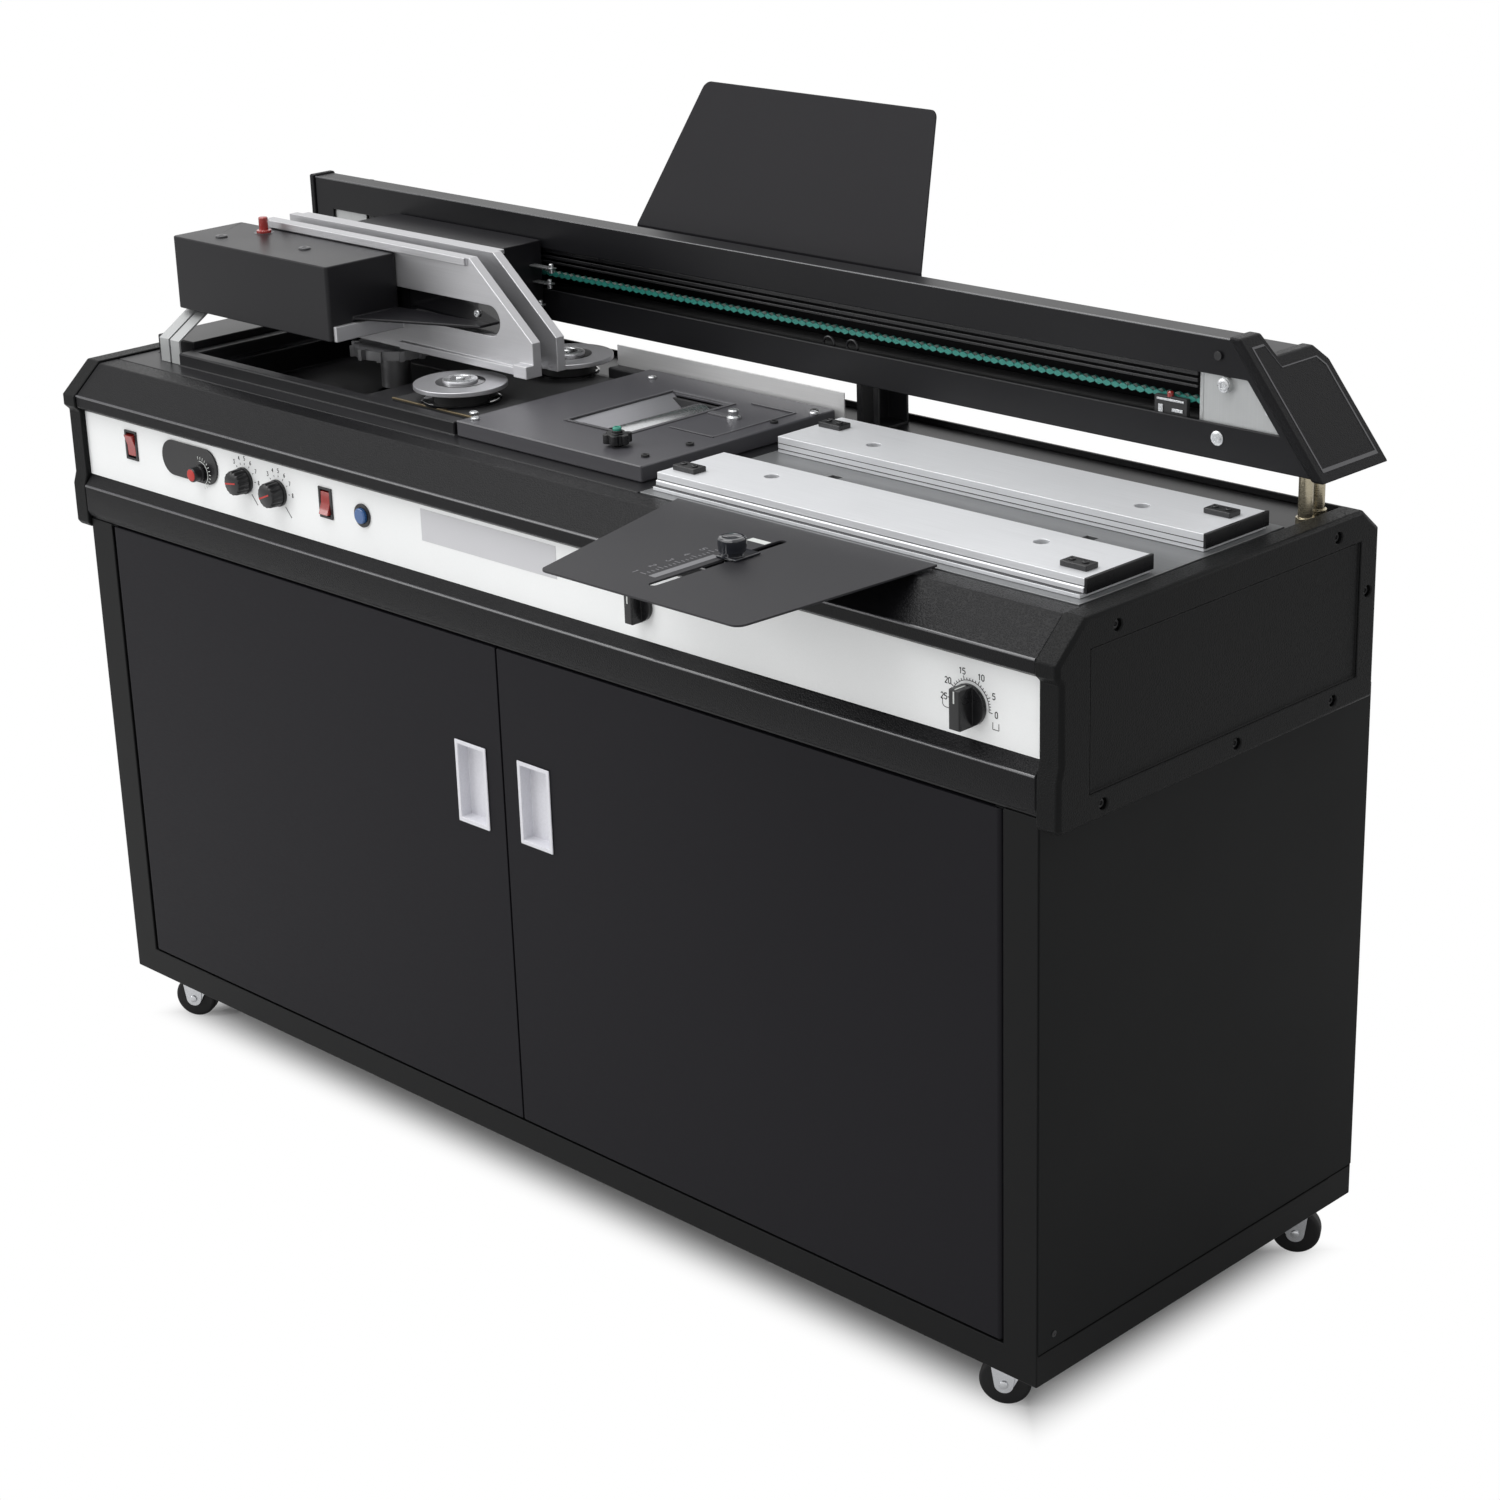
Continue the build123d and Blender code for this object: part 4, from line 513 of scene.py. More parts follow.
    def tube(self, path, radius, steps=10):
        """Round tube: at each path point a circle of that radius stands across the path, in the
        frame of the tangent t, the side vector t x Z (or t x Y on a path that runs upwards) and
        their cross product."""
        path = np.asarray(path, float)
        tangent = np.gradient(path, axis=0)
        tangent /= np.linalg.norm(tangent, axis=1, keepdims=True)
        upwards = abs(tangent[:, 2]).max() > 0.9
        side = np.cross(tangent, [0.0, 1.0, 0.0] if upwards else [0.0, 0.0, 1.0])
        side /= np.linalg.norm(side, axis=1, keepdims=True)
        other = np.cross(side, tangent)
        t = np.linspace(0, 2 * np.pi, steps, endpoint=False)[None, :, None]
        ring = side[:, None] * np.cos(t) + other[:, None] * np.sin(t)
        return self.barrel(path[:, None] + radius * ring)

    def piece(self, name, finish, slot, body=ROOT, bevel=0.0, replaces=()):
        """The mesh object, in metres: doubles merged, faces outwards, and its edges rounded."""
        mesh = bpy.data.meshes.new(name)
        mesh.from_pydata((np.vstack(self.points) * MM).tolist(), [], self.faces)
        work = bmesh.new()
        work.from_mesh(mesh)
        bmesh.ops.remove_doubles(work, verts=work.verts, dist=1e-6)
        bmesh.ops.recalc_face_normals(work, faces=work.faces)
        work.to_mesh(mesh)
        work.free()
        finished(name, mesh, finish, body, bevel, replaces)


def finished(name, mesh, finish, body, bevel, replaces):
    """Object with its finish, rounded edges and body."""
    mesh.materials.clear()
    mesh.materials.append(finish.material)
    mesh.shade_smooth()
    mesh.set_sharp_from_angle(angle=SMOOTH_BELOW)
    made = bpy.data.objects.new(name, mesh)
    bpy.context.scene.collection.objects.link(made)
    if bevel:
        rounding = made.modifiers.new("rounded_edges", "BEVEL")
        rounding.width = bevel * MM
        rounding.segments = 2
        rounding.limit_method = "ANGLE"
        rounding.angle_limit = ROUND_ABOVE
        rounding.use_clamp_overlap = False
        rounding.harden_normals = True
    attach(made, body)
    if replaces:
        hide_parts(*replaces)


def body_of_node(node):
    """Name of the body that carries a CAD node."""
    return nodes[node]["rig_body"]


def softened(node, finish, bevel):
    """Copy of a CAD node with merged, flat-dissolved faces and rounded edges; it stands for the
    node."""
    mesh = nodes[node].data.copy()
    work = bmesh.new()
    work.from_mesh(mesh)
    bmesh.ops.remove_doubles(work, verts=work.verts, dist=2e-6)
    bmesh.ops.dissolve_limit(work, angle_limit=FLAT_BELOW, verts=work.verts, edges=work.edges)
    work.to_mesh(mesh)
    work.free()
    mesh.name = f"{node}_body"
    if mesh.has_custom_normals:
        mesh.attributes.remove(mesh.attributes["custom_normal"])
    finished(f"{node}_body", mesh, finish, body_of_node(node), bevel, [node])


def painted(node, finish):
    """Give a CAD node its finish."""
    slots = nodes[node].data.materials
    slots.clear()
    slots.append(finish.material)


# ---------------------------------------------------------------- dressing the CAD nodes
for finish, bevel, slot, *dressed in (
    (frame_enamel, 1.2, "black_enamel", "cabinet_frame"),
    (side_enamel, 0.4, "door_enamel", "cabinet_panels"),
    (door_enamel, 1.4, "door_enamel", "left_door"),
    (pull_plastic, 0.9, "pull_frame", "left_handle"),
    (cap_moulding, 1.6, "black_moulding", "left_end_cap"),
    (door_enamel, 1.4, "door_enamel", "right_door"),
    (pull_plastic, 0.9, "pull_frame", "right_handle"),
    (cap_moulding, 1.6, "black_moulding", "right_end_cap"),
    (black_moulding, 1.6, "black_moulding", "front_mouldings"),
    (panel_silver, 0.3, "panel_silver", "control_panel"),
    (knob_black, 0.5, "black_moulding", "panel_bezels"),
    (bed_enamel, 0.6, "black_enamel", "chassis_pan"),
    (bed_enamel, 1.8, "black_enamel", "deck_trim"),
    (tank_paint, 1.8, "tank_grey", "tank_cover"),
    (dark_cast, 0.5, "tank_grey", "glue_tank"),
    (dark_cast, 0.8, "tank_grey", "disc_mount"),
    (splash_steel, 0.3, "zinc", "splash_plate"),
    (zinc_plate, 0.5, "zinc", "mounting_hardware"),
    (nip_alloy, 0.5, "jaw_aluminium", "nip_bed", "front_nip_bar"),
    (tray_coat, 0.5, "black_enamel", "cover_tray"),
    (leaf_coat, 0.6, "black_enamel", "rear_tray"),
    (beam_enamel, 1.4, "black_enamel", "beam_rail"),
    (black_moulding, 2.0, "black_moulding", "beam_end_caps"),
    (support_metal, 0.6, "support_metal", "beam_supports"),
    (zinc_plate, 0.4, "zinc", "sprocket_bracket"),
    (dark_cast, 0.6, "motor_grey", "drive_motors"),
    (box_enamel, 1.4, "black_enamel", "carriage_housing"),
    (dark_cast, 0.6, "motor_grey", "carriage_slider"),
    (box_enamel, 1.4, "black_enamel", "clamp_cover"),
    (jaw_alloy, 0.8, "jaw_aluminium", "front_jaw", "rear_jaw"),
    (oxide_black, 0.3, "black_screws", "casing_screws"),
    (fork_chrome, 0.4, "zinc", "caster_fork_front_left"),
    (tyre_rubber, 0.6, "tyre_black", "caster_wheel_front_left"),
    (fork_chrome, 0.4, "zinc", "caster_fork_front_right"),
    (tyre_rubber, 0.6, "tyre_black", "caster_wheel_front_right"),
    (fork_chrome, 0.4, "zinc", "caster_fork_rear_left"),
    (tyre_rubber, 0.6, "tyre_black", "caster_wheel_rear_left"),
    (fork_chrome, 0.4, "zinc", "caster_fork_rear_right"),
    (tyre_rubber, 0.6, "tyre_black", "caster_wheel_rear_right"),
    (disc_steel, 0.8, "ground_steel", "side_disc_front", "side_disc_rear"),
    (knob_black, 0.4, "knob_black", "temperature_knob", "pressure_knob", "time_knob"),
    (knob_black, 0.4, "knob_black", "cover_knob", "spine_knob"),
    (knob_black, 0.6, "knob_black", "star_knob"),
    (knob_gloss, 0.6, "knob_black", "tray_stop_knob"),
    (rocker_red, 0.6, "rocker_red", "power_rocker", "mode_rocker"),
    (rocker_red, 0.5, "rocker_red", "release_knob"),
    (button_blue, 0.4, "button_blue", "start_button"),
):
    for node in dressed:
        softened(node, finish, bevel)
painted("guide_shafts", dark_cast)
painted("glue_roller", bright_steel)
for node in ("drive_sprocket", "idler_sprocket", "milling_cutter"):
    painted(node, tool_steel)


# ---------------------------------------------------------------- places taken from the frame
def extent(node):
    """Lowest and highest corner of a CAD node, in millimetres."""
    low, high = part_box(node)
    return np.array(low) / MM, np.array(high) / MM


def middle(node):
    """Centre of a CAD node's box, in millimetres."""
    return np.mean(extent(node), axis=0)


def ray(degrees):
    """Unit vectors (cos a, sin a) of angles in degrees."""
    angle = np.radians(degrees)
    return np.stack([np.cos(angle), np.sin(angle)], axis=-1)


# ---------------------------------------------------------------- cabinet sides and edge beads
def side_sheets():
    """One flat sheet on each side of the cabinet, between the plinth and the end cap, with painted
    shade under it (a black strip where the gap's shadow falls) and a screw in its lower front
    corner."""
    low, high = extent("cabinet_frame")
    foot, top = low[2] + 33, extent("right_end_cap")[0][2]
    for side, wall, outwards in (("left", low[0], -1), ("right", high[0], 1)):
        outer = wall + outwards
        x0, x1 = sorted((wall, outer))
        sheet = Shape().bar((x0, x1), (low[1] + 1, high[1] - 1), (foot, top))
        sheet.piece(f"{side}_side_sheet", side_enamel, "door_enamel", bevel=0.4)
        # painted shade: a black strip under the sheet stands for the shadow in the gap
        gap = Shape()
        gap.bar((x0 + 0.35, x1 - 0.35), (low[1] + 2, high[1] - 2), (foot - 2, foot + 0.2))
        gap.piece(f"{side}_plinth_gap_shade", gap_shade_black, "black_enamel")
        screw = Shape().cap_screw((outer, low[1] + 22, foot + 13), 0, 3.0, 0.8 * outwards)
        screw.piece(f"{side}_sheet_screw", oxide_black, "black_screws")


def level_line(left, right, y, z, count):
    """Points of a level line along the machine."""
    return [(x, y, z) for x in np.linspace(left, right, count)]


def edge_beads():
    """Painted highlights: thin round beads along the front mouldings, the beam and the tank cover,
    lighter than the parts under them, standing for the highlights on those edges.
    """
    low, high = extent("front_mouldings")
    # painted highlight: these beads are lighter so that they read as the edges' highlights
    beads = Shape()
    for z in (634.0, 734.0):
        beads.tube(level_line(low[0] + 1, high[0] - 1, low[1] + 0.9, z, 12), 1.4)
    beads.piece("moulding_beads", painted_highlight_gloss, "black_moulding")
    low, high = extent("beam_rail")
    bead = Shape().tube(level_line(low[0] + 1, 591, low[1] + 0.6, high[2] - 0.6, 8), 0.9)
    bead.piece("beam_bead", painted_highlight_gloss, "black_enamel")
    low, high = extent("tank_cover")
    path = level_line(low[0] + 1, high[0] - 1, low[1] + 0.9, high[2] - 0.9, 6)
    # painted highlight: the lighter rim steel of this lip stands for the highlight on the cover's
    # front edge
    lip = Shape().tube(path, 1.2)
    lip.piece("cover_lip_painted_highlight", rim_steel, "tank_grey")


def caster_cheeks():
    """Pressed cheek plates on both sides of each caster wheel: straight sides that run down to
    a half circle of radius 9 round the axle, and a rivet on the axle, all turned about the
    wheel's centre to the line along which the caster is headed."""
    outline = np.vstack([[(-13.0, 25.5), (12.5, 25.5)], 9.0 * ray(np.linspace(-8, -172, 16))])
    for corner in CORNERS:
        x, y, z = middle(f"caster_wheel_{corner}")
        cheeks = Shape()
        for near in (-13.0, 11.7):
            cheeks.prism(outline + [0, z], 1, near, near + 1.3)
        for side in (-1, 1):
            rivet = [(4.2, 13.0 * side), (4.0, 14.3 * side), (2.6, 15.0 * side)]
            cheeks.turned(rivet, (0, 0, z), 1, 20)
        cheeks.spin(CASTER_HEADING, (x, y, 0))
        body = body_of_node(f"caster_fork_{corner}")
        cheeks.piece(f"caster_cheeks_{corner}", fork_chrome, "zinc", body, 0.4)


side_sheets()
edge_beads()
caster_cheeks()


# ---------------------------------------------------------------- control panel
def on_panel(node):
    """Centre of a node as a point (x, z) of the control panel."""
    return middle(node)[[0, 2]]


def panel_ink(rise=0.0):
    """Axis and levels of ink on the panel, or on a window that stands out from it by rise."""
    face = extent("control_panel")[0][1] - rise
    return 1, face - INK, face


def number_dial(knob, name, labels, height, ticks, radii):
    """Scale printed round a knob: labels maps a number to its angle in degrees and radius, and
    ticks are angles whose lines run between the two radii."""
    place, ink = on_panel(knob), panel_ink()
    scale = Shape()
    for text, angle, radius in labels:
        scale.digits(text, place + radius * ray(angle), height, *ink)
    lines = ray(ticks)
    scale.strokes(place + radii[0] * lines, place + radii[1] * lines, 0.6, *ink)
    scale.piece(name, ink_black, "black_screws")


def spine_scale():
    """Dial of the spine knob: 25 to 0 clockwise, a tick for each unit, a longer one for each
    five, the arc that joins them, and the outlines of a rounded and a square spine."""
    place, ink = on_panel("spine_knob"), panel_ink()
    inner = 20.6
    angles = [178, 147, 107, 65, 26, -6]
    labels = [(str(25 - 5 * i), angle, 28.5) for i, angle in enumerate(angles)]
    units = np.interp(np.arange(26), 5 * np.arange(6), angles)
    number_dial("spine_knob", "spine_scale", labels, 5.2, units, (inner, 22.6))
    marks = Shape()
    marks.line(place + inner * ray(np.linspace(-6, 178, 40)), 0.5, *ink)
    fives = ray(angles)
    marks.strokes(place + inner * fives, place + 24.4 * fives, 0.6, *ink)
    marks.line(place + [(-30, -2), (-30, -6), (-28.5, -8), (-26, -8.6), (-22.5, -8.6)], 0.5, *ink)
    marks.line(place + [(24.5, -10), (24.5, -16), (31, -16), (31, -10)], 0.5, *ink)
    marks.piece("spine_marks", ink_black, "black_screws")


def small_scales():
    """Dials of the pressure and time knobs: 3 to 8 over the top, and the line where they end."""
    ink = panel_ink()
    angles = [133, 108, 85, 60, 33, 3]
    labels = [(str(3 + i), angle, 23.5) for i, angle in enumerate(angles)]
    for knob in ("pressure", "time"):
        number_dial(f"{knob}_knob", f"{knob}_scale", labels, 4.2, angles, (16.5, 18.5))
        end = Shape().line(on_panel(f"{knob}_knob") + [(10, -13), (19, -23)], 0.8, *ink)
        end.piece(f"{knob}_scale_end", ink_black, "black_screws")


def heat_scale():
    """White scale on the dark window, right of the temperature knob."""
    place, ink = on_panel("temperature_knob"), panel_ink(2.0)
    lines = ray(np.linspace(-70, 100, 13))
    marks = Shape().strokes(place + 14.5 * lines, place + 17.5 * lines, 0.7, *ink)
    marks.line(place + 12.5 * ray(np.linspace(-60, 95, 24)), 0.8, *ink)
    marks.piece("heat_scale", ink_white, "pull_frame")


def fluted_grips():
    """Grip sleeves of the pressure and time knobs: the radius is r (1 + 0.035 cos 16 t) round the
    middle of the sleeve, and both ends are drawn in to the plain knob. A red line marks each."""
    profile = [
        (11.0, -0.1, 0.0), (11.9, 0.5, 0.02), (12.3, 1.8, 0.035),
        (12.9, 11.5, 0.035), (13.2, 13.2, 0.0), (11.0, 13.4, 0.0),
    ]
    for knob, (tail, tip) in (("pressure", (188, 8)), ("time", (203, 20))):
        node = f"{knob}_knob"
        body = body_of_node(node)
        front = extent(node)[0][1]
        place = on_panel(node)
        grip = Shape().turned(profile, (place[0], front, place[1]), 1, 128, 16)
        grip.piece(f"{knob}_grip", knob_black, "knob_black", body)
        path = np.array([place + 10.5 * ray(tail), place + 6.5 * ray(tip)])
        line = Shape().line(path, 1.6, 1, front - 0.5, front)
        line.piece(f"{knob}_line", ink_red, "rocker_red", body)


def knob_marks():
    """White lines on the two pointer knobs, and the red cap of the temperature knob."""
    for knob in ("cover_knob", "spine_knob"):
        low, high = extent(knob)
        x, top = (low[0] + high[0]) / 2, high[2]
        wide = (x - 0.7, x + 0.7)
        mark = Shape().bar(wide, (low[1] - 0.25, low[1] + 0.3), (top - 12, top - 1.6))
        mark.bar(wide, (low[1] + 1.6, low[1] + 14), (top - 0.8, top - 0.1))
        mark.piece(f"{knob}_mark", ink_white, "pull_frame", body_of_node(knob))
    x, z = on_panel("temperature_knob")
    front = extent("temperature_knob")[0][1]
    cap = Shape().turned([(6.4, 0), (6.2, -0.5), (5.4, -0.8)], (x, front, z), 1)
    cap.piece("temperature_cap", ink_red, "rocker_red", body_of_node("temperature_knob"))


def name_plate():
    """The bare name plate in the middle of the panel."""
    low, high = extent("control_panel")
    plate = Shape().bar((-106, 88), (low[1] - 0.3, low[1]), (low[2] + 34, high[2] - 4))
    plate.piece("name_plate", plate_grey, "panel_silver")


spine_scale()
small_scales()
heat_scale()
fluted_grips()
knob_marks()
name_plate()


# ---------------------------------------------------------------- side discs and glue tank
def disc_details():
    """Dark ring, bearing race, seal and screw of each side disc, and the glossy dish beneath."""
    deck = extent("disc_mount")[0][2] + 4
    for end, reach in (("front", 41.0), ("rear", 33.0)):
        node = f"side_disc_{end}"
        body = body_of_node(node)
        x, y, _ = middle(node)
        top = (x, y, extent(node)[1][2])
        ring = Shape().turned([(25.5, -3), (25.5, -2.5), (19, -2.3)], top, 2, 48)
        ring.piece(f"{end}_disc_ring", gloss_black, "knob_black", body)
        profile = [(17.4, -1), (17.4, 0.4), (16.2, 0.9), (11.5, 0.9), (10.8, 0.3)]
        race = Shape().turned(profile, top, 2, 48)
        race.piece(f"{end}_disc_race", race_chrome, "ground_steel", body)
        seal = Shape().turned([(10.9, 0), (10.7, 0.5), (6, 0.6)], top, 2)
        seal.piece(f"{end}_disc_seal", gloss_black, "knob_black", body)
        screw = Shape().cap_screw(top, 2, 5.2, 2.4)
        screw.piece(f"{end}_disc_screw", race_chrome, "ground_steel", body)
        profile = [(reach, 0), (reach, 1.4), (reach - 2, 2), (reach - 4, 1.2), (27, 0.5)]
        dish = Shape().turned(profile, (x, y, deck), 2, 64)
        dish.piece(f"{end}_disc_dish", gloss_black, "tank_grey")


def mount_edges():
    """Bronze-coloured strips along the front and right edges of the plate under the discs."""
    low, high = extent("disc_mount")
    deck = low[2] + 4
    edges = Shape().bar((low[0], high[0]), (low[1] - 0.1, low[1] + 2.6), (deck - 1, deck + 0.9))
    edges.bar((high[0] - 2.6, high[0] + 0.1), (low[1], 84), (deck - 1, deck + 0.9))
    edges.piece("mount_edges", bronze, "tank_grey", bevel=0.4)


def tank_details():
    """Rim and inner slopes of the glue window, the latch right of it, the cover's screws and
    the stud of the star knob."""
    low, high = extent("tank_cover")
    top = high[2]
    left, right, front, rear, rim_width = -44.0, 38.0, -88.0, 52.0, 4
    rim = Shape()
    for x in ((left - rim_width, left), (right, right + rim_width)):
        rim.bar(x, (front - rim_width, rear + rim_width), (top - 0.5, top + 1.2))
    for y in ((front - rim_width, front), (rear, rear + rim_width)):
        rim.bar((left, right), y, (top - 0.5, top + 1.2))
    rim.piece("glue_window_rim", rim_steel, "tank_grey", bevel=0.5)
    slopes = Shape()
    for side, under, over in ((left, 19, 20), (right, -8, -9)):
        outline = [(0, -1), (0, -3), (under, -15), (over, -14)]
        slopes.prism(np.add(outline, (side, top)), 1, front, rear)
    slopes.piece("glue_window_slopes", ramp_steel, "tank_grey")
    latch = Shape().bar((46, 72), (12, 20), (top, top + 2.2))
    for x, y in (((52, 112), (-46, -43.5)), ((52, 112), (66, 68.5)), ((109.5, 112), (-43.5, 66))):
        latch.bar(x, y, (top, top + 1.0))
    latch.piece("glue_latch", rim_steel, "tank_grey", bevel=0.5)
    profile = [(7, 0), (7, 2), (4.5, 3.5), (5.5, 8), (4.5, 9.5), (2, 9.8)]
    knob = Shape().turned(profile, (78, 16, top), 2)
    knob.piece("glue_latch_knob", race_chrome, "zinc")
    screws = Shape()
    for place in (
        (low[0] + 12, low[1] + 14, top),
        (low[0] + 31, high[1] - 26, top),
        (high[0] - 5, high[1] - 25, top),
        (low[0] - 11, -126, 778),
    ):
        screws.cap_screw(place, 2, 4.6, 2.6)
    screws.piece("cover_screws", race_chrome, "zinc")
    x, y, _ = middle("star_knob")
    stud = Shape().cap_screw((x, y, extent("star_knob")[1][2]), 2, 4.2, 3.2)
    stud.piece("star_knob_stud", stud_green, "zinc", body_of_node("star_knob"))


disc_details()
mount_edges()
tank_details()


# ---------------------------------------------------------------- nip bars
def nip_details():
    """Black end plates, stop blocks with their screws, and painted shade at the bottoms of the
    holes (a dark disc in each) with a screw in each."""
    low, high = extent("front_nip_bar")
    front_body = body_of_node("front_nip_bar")
    top = high[2]
    for name, near, far, block_y, hole_y, body in (
        ("front", low[1] + 6, high[1], low[1] + 28, high[1] - 30, front_body),
        ("rear", -3.0, 85.0, 54.0, 31.0, ROOT),
    ):
        plate = Shape().bar((high[0], high[0] + 3), (near - 1, far + 0.5), (top - 12.5, top + 0.8))
        plate.piece(f"{name}_bar_end", knob_black, "knob_black", body, 0.5)
        blocks, screws, wells = Shape(), Shape(), Shape()
        for x in (high[0] - 24, low[0] + 20):
            blocks.bar((x - 14, x + 14), (block_y - 8, block_y + 8), (top, top + 5))
            for shift in (-7, 7):
                screws.cap_screw((x + shift, block_y, top + 5), 2, 3.2, 1.2)
        for x in (low[0] + 92, high[0] - 92):
            # painted shade: a dark disc at the bottom of each hole, where its shadow falls
            wells.turned([(6.9, -11), (6.9, -10.4), (3, -10.2)], (x, hole_y, top), 2)
            wells.cap_screw((x, hole_y, top - 10.4), 2, 4.8, 5)
        blocks.piece(f"{name}_bar_stops", knob_black, "knob_black", body, 0.8)
        screws.piece(f"{name}_stop_screws", oxide_black, "black_screws", body)
        wells.piece(f"{name}_bar_wells", oxide_black, "black_screws", body)


nip_details()


# ---------------------------------------------------------------- clamp, jaws and carriage
def clamp_details():
    """Flush screws on the clamp box, the washer of its red knob, the dark plate and the screw
    behind the front jaw's slot, and the small levers on the carriage's right side."""
    low, high = extent("clamp_cover")
    body = body_of_node("clamp_cover")
    box_top = 895.0
    screws = Shape()
    profile = [(6.4, 0), (6.4, 1.3), (5.6, 1.8), (2.6, 1.8), (2.4, 1.2)]
    for x, y in ((low[0] + 49, low[1] + 29), (low[0] + 172, low[1] + 45)):
        screws.turned(profile, (x, y, box_top), 2)
    screws.piece("box_screws", screw_grey, "black_screws", body)
    x, y, _ = middle("release_knob")
    washer = Shape().turned([(11, 0), (11, 0.2), (9, 0.25)], (x, y, box_top), 2)
    washer.piece("release_washer", screw_grey, "zinc", body)
    slot_back = high[1] - 3.5
    backing = Shape().bar((-381, -203), (slot_back, slot_back + 3), (828.5, 858.5))
    backing.piece("slot_backing", gloss_black, "knob_black", body)
    screw = Shape().cap_screw((-243, slot_back, 846), 1, 4, -2.5)
    screw.piece("slot_screw", race_chrome, "zinc", body)
    right = extent("carriage_housing")[1][0]
    levers = Shape()
    for reach, z, y in ((34, 866, 98), (26, 848, 102), (12, 824, 100)):
        levers.bar((right, right + reach), (y - 4, y + 4), (z, z + 1.6))
        levers.turned([(2.6, -4), (2.6, 5), (1.8, 5.6)], (right + reach - 4, y, z), 2)
    carriage = body_of_node("carriage_housing")
    levers.piece("carriage_levers", race_chrome, "zinc", carriage, 0.3)


clamp_details()


# ---------------------------------------------------------------- rail beam
def beam_details():
    """Grooved guide in the top of the beam's slot, bolts on its right end, the limit switch's
    button and lever, and the rings that hold the cable under the beam."""
    face = extent("beam_rail")[0][1]
    guide = Shape()
    for z in ((876.5, 880.5), (870.5, 874.0), (865.5, 868.0)):
        guide.bar((-596, 555), (face + 3.2, face + 5.2), z)
    guide.piece("slot_guide", knob_black, "black_enamel", bevel=0.5)
    bolts = Shape().turned([(6.6, 0), (6.6, -0.8), (5.8, -1.1)], (580, face, 825), 1)
    hexagon = np.array([580, 825]) + 4.6 * ray(np.arange(15, 375, 60))
    bolts.prism(hexagon, 1, face - 1.1, face - 1.9)
    bolts.cap_screw((633, face + 3, 857), 1, 4.2, -2.6)
    bolts.cap_screw((587, face - 2, 874), 1, 6.2, -1.8)
    bolts.piece("beam_bolts", race_chrome, "zinc")
    button = Shape().turned([(3, 0), (3, 4), (2, 5)], (524, 120.5, 852.5), 2)
    button.piece("switch_button", rocker_red, "rocker_red")
    lever = Shape().bar((511, 541), (117.2, 118), (849, 851))
    lever.bar((513, 518), (117, 118), (838, 845))
    lever.bar((528, 540), (117, 118), (840, 843))
    lever.piece("switch_lever", race_chrome, "zinc", bevel=0.2)
    rings = Shape()
    turn = np.linspace(0, 2 * np.pi, 20)
    for x, z in ((109, 839), (140, 840)):
        ring = [x + 7 * np.cos(turn), face + 4 + 0 * turn, z + 7 * np.sin(turn)]
        rings.tube(np.stack(ring, 1), 1.3, 8)
    rings.piece("cable_rings", knob_black, "black_moulding")


def cap_seam():
    """Raised seam of lighter gloss on the slanted face of the right end cap, a painted highlight
    for
    the bright edge of its groove: a loop round the beam's section (y, z) and a smaller one inside
    it, where x = 604 + 0.8 (915 - z) puts a point on the face."""
    low, _ = extent("beam_end_caps")
    section = np.array([(9, 8), (9, 106), (26, 106), (32, 87), (84, 87), (91, 79), (91, 8)], float)
    section += [low[1], low[2]]
    centre = section.mean(axis=0)
    inner = centre + (section - centre) * 0.955
    rows = []
    for loop, lift in ((section, -0.5), (section, 0.35), (inner, 0.35), (inner, -0.5)):
        x = 604 + 0.8 * (915 - loop[:, 1]) + lift
        rows.append(np.stack([x, loop[:, 0], loop[:, 1]], 1))
    seam = Shape().sheet(np.array(rows))
    seam.piece("beam_cap_seam", painted_highlight_gloss, "black_moulding")


beam_details()
cap_seam()


# ---------------------------------------------------------------- front tray
def tray_details():
    """Ruler left of the tray's slot, its pale strips and the cap of the stop knob."""
    slot_x, front, rear, knob_y = 368.0, -368.0, -216.0, -276.0
    top = extent("cover_tray")[1][2]
    ink = (2, top, top + 0.15)
    marks = np.arange(front + 14, front + 104, 5.0)
    long = 4.0 + 3.0 * (np.arange(len(marks)) % 4 == 0)
    starts = np.stack([slot_x - 24 - long, marks], 1)
    ends = np.stack([0 * marks + slot_x - 24, marks], 1)
    ruler = Shape().strokes(starts, ends, 0.9, *ink)
    for order in range(5):
        ruler.digits(str(order + 1), (slot_x - 37, front + 14 + 20 * order), 7, *ink)
    ruler.piece("tray_ruler", ruler_grey, "pull_frame")
    strip = Shape().bar((slot_x - 19, slot_x - 11), (front + 12, front + 88), (top, top + 0.2))
    strip.piece("tray_strip", strip_grey, "pull_frame")
    label = Shape().bar((slot_x - 27, slot_x - 5), (rear - 16, rear - 8), (top, top + 0.2))
    label.piece("tray_label", ink_white, "pull_frame")
    profile = [
        (12.3, -9), (12.6, -4), (12.3, -1), (10.8, 0.6), (8.6, 0.8), (7.6, 0.2), (4, 0.1),
    ]
    cap = Shape().turned(profile, (slot_x, knob_y, extent("tray_stop_knob")[1][2]), 2, 48)
    cap.piece("stop_knob_cap", knob_gloss, "knob_black", body_of_node("tray_stop_knob"))


tray_details()


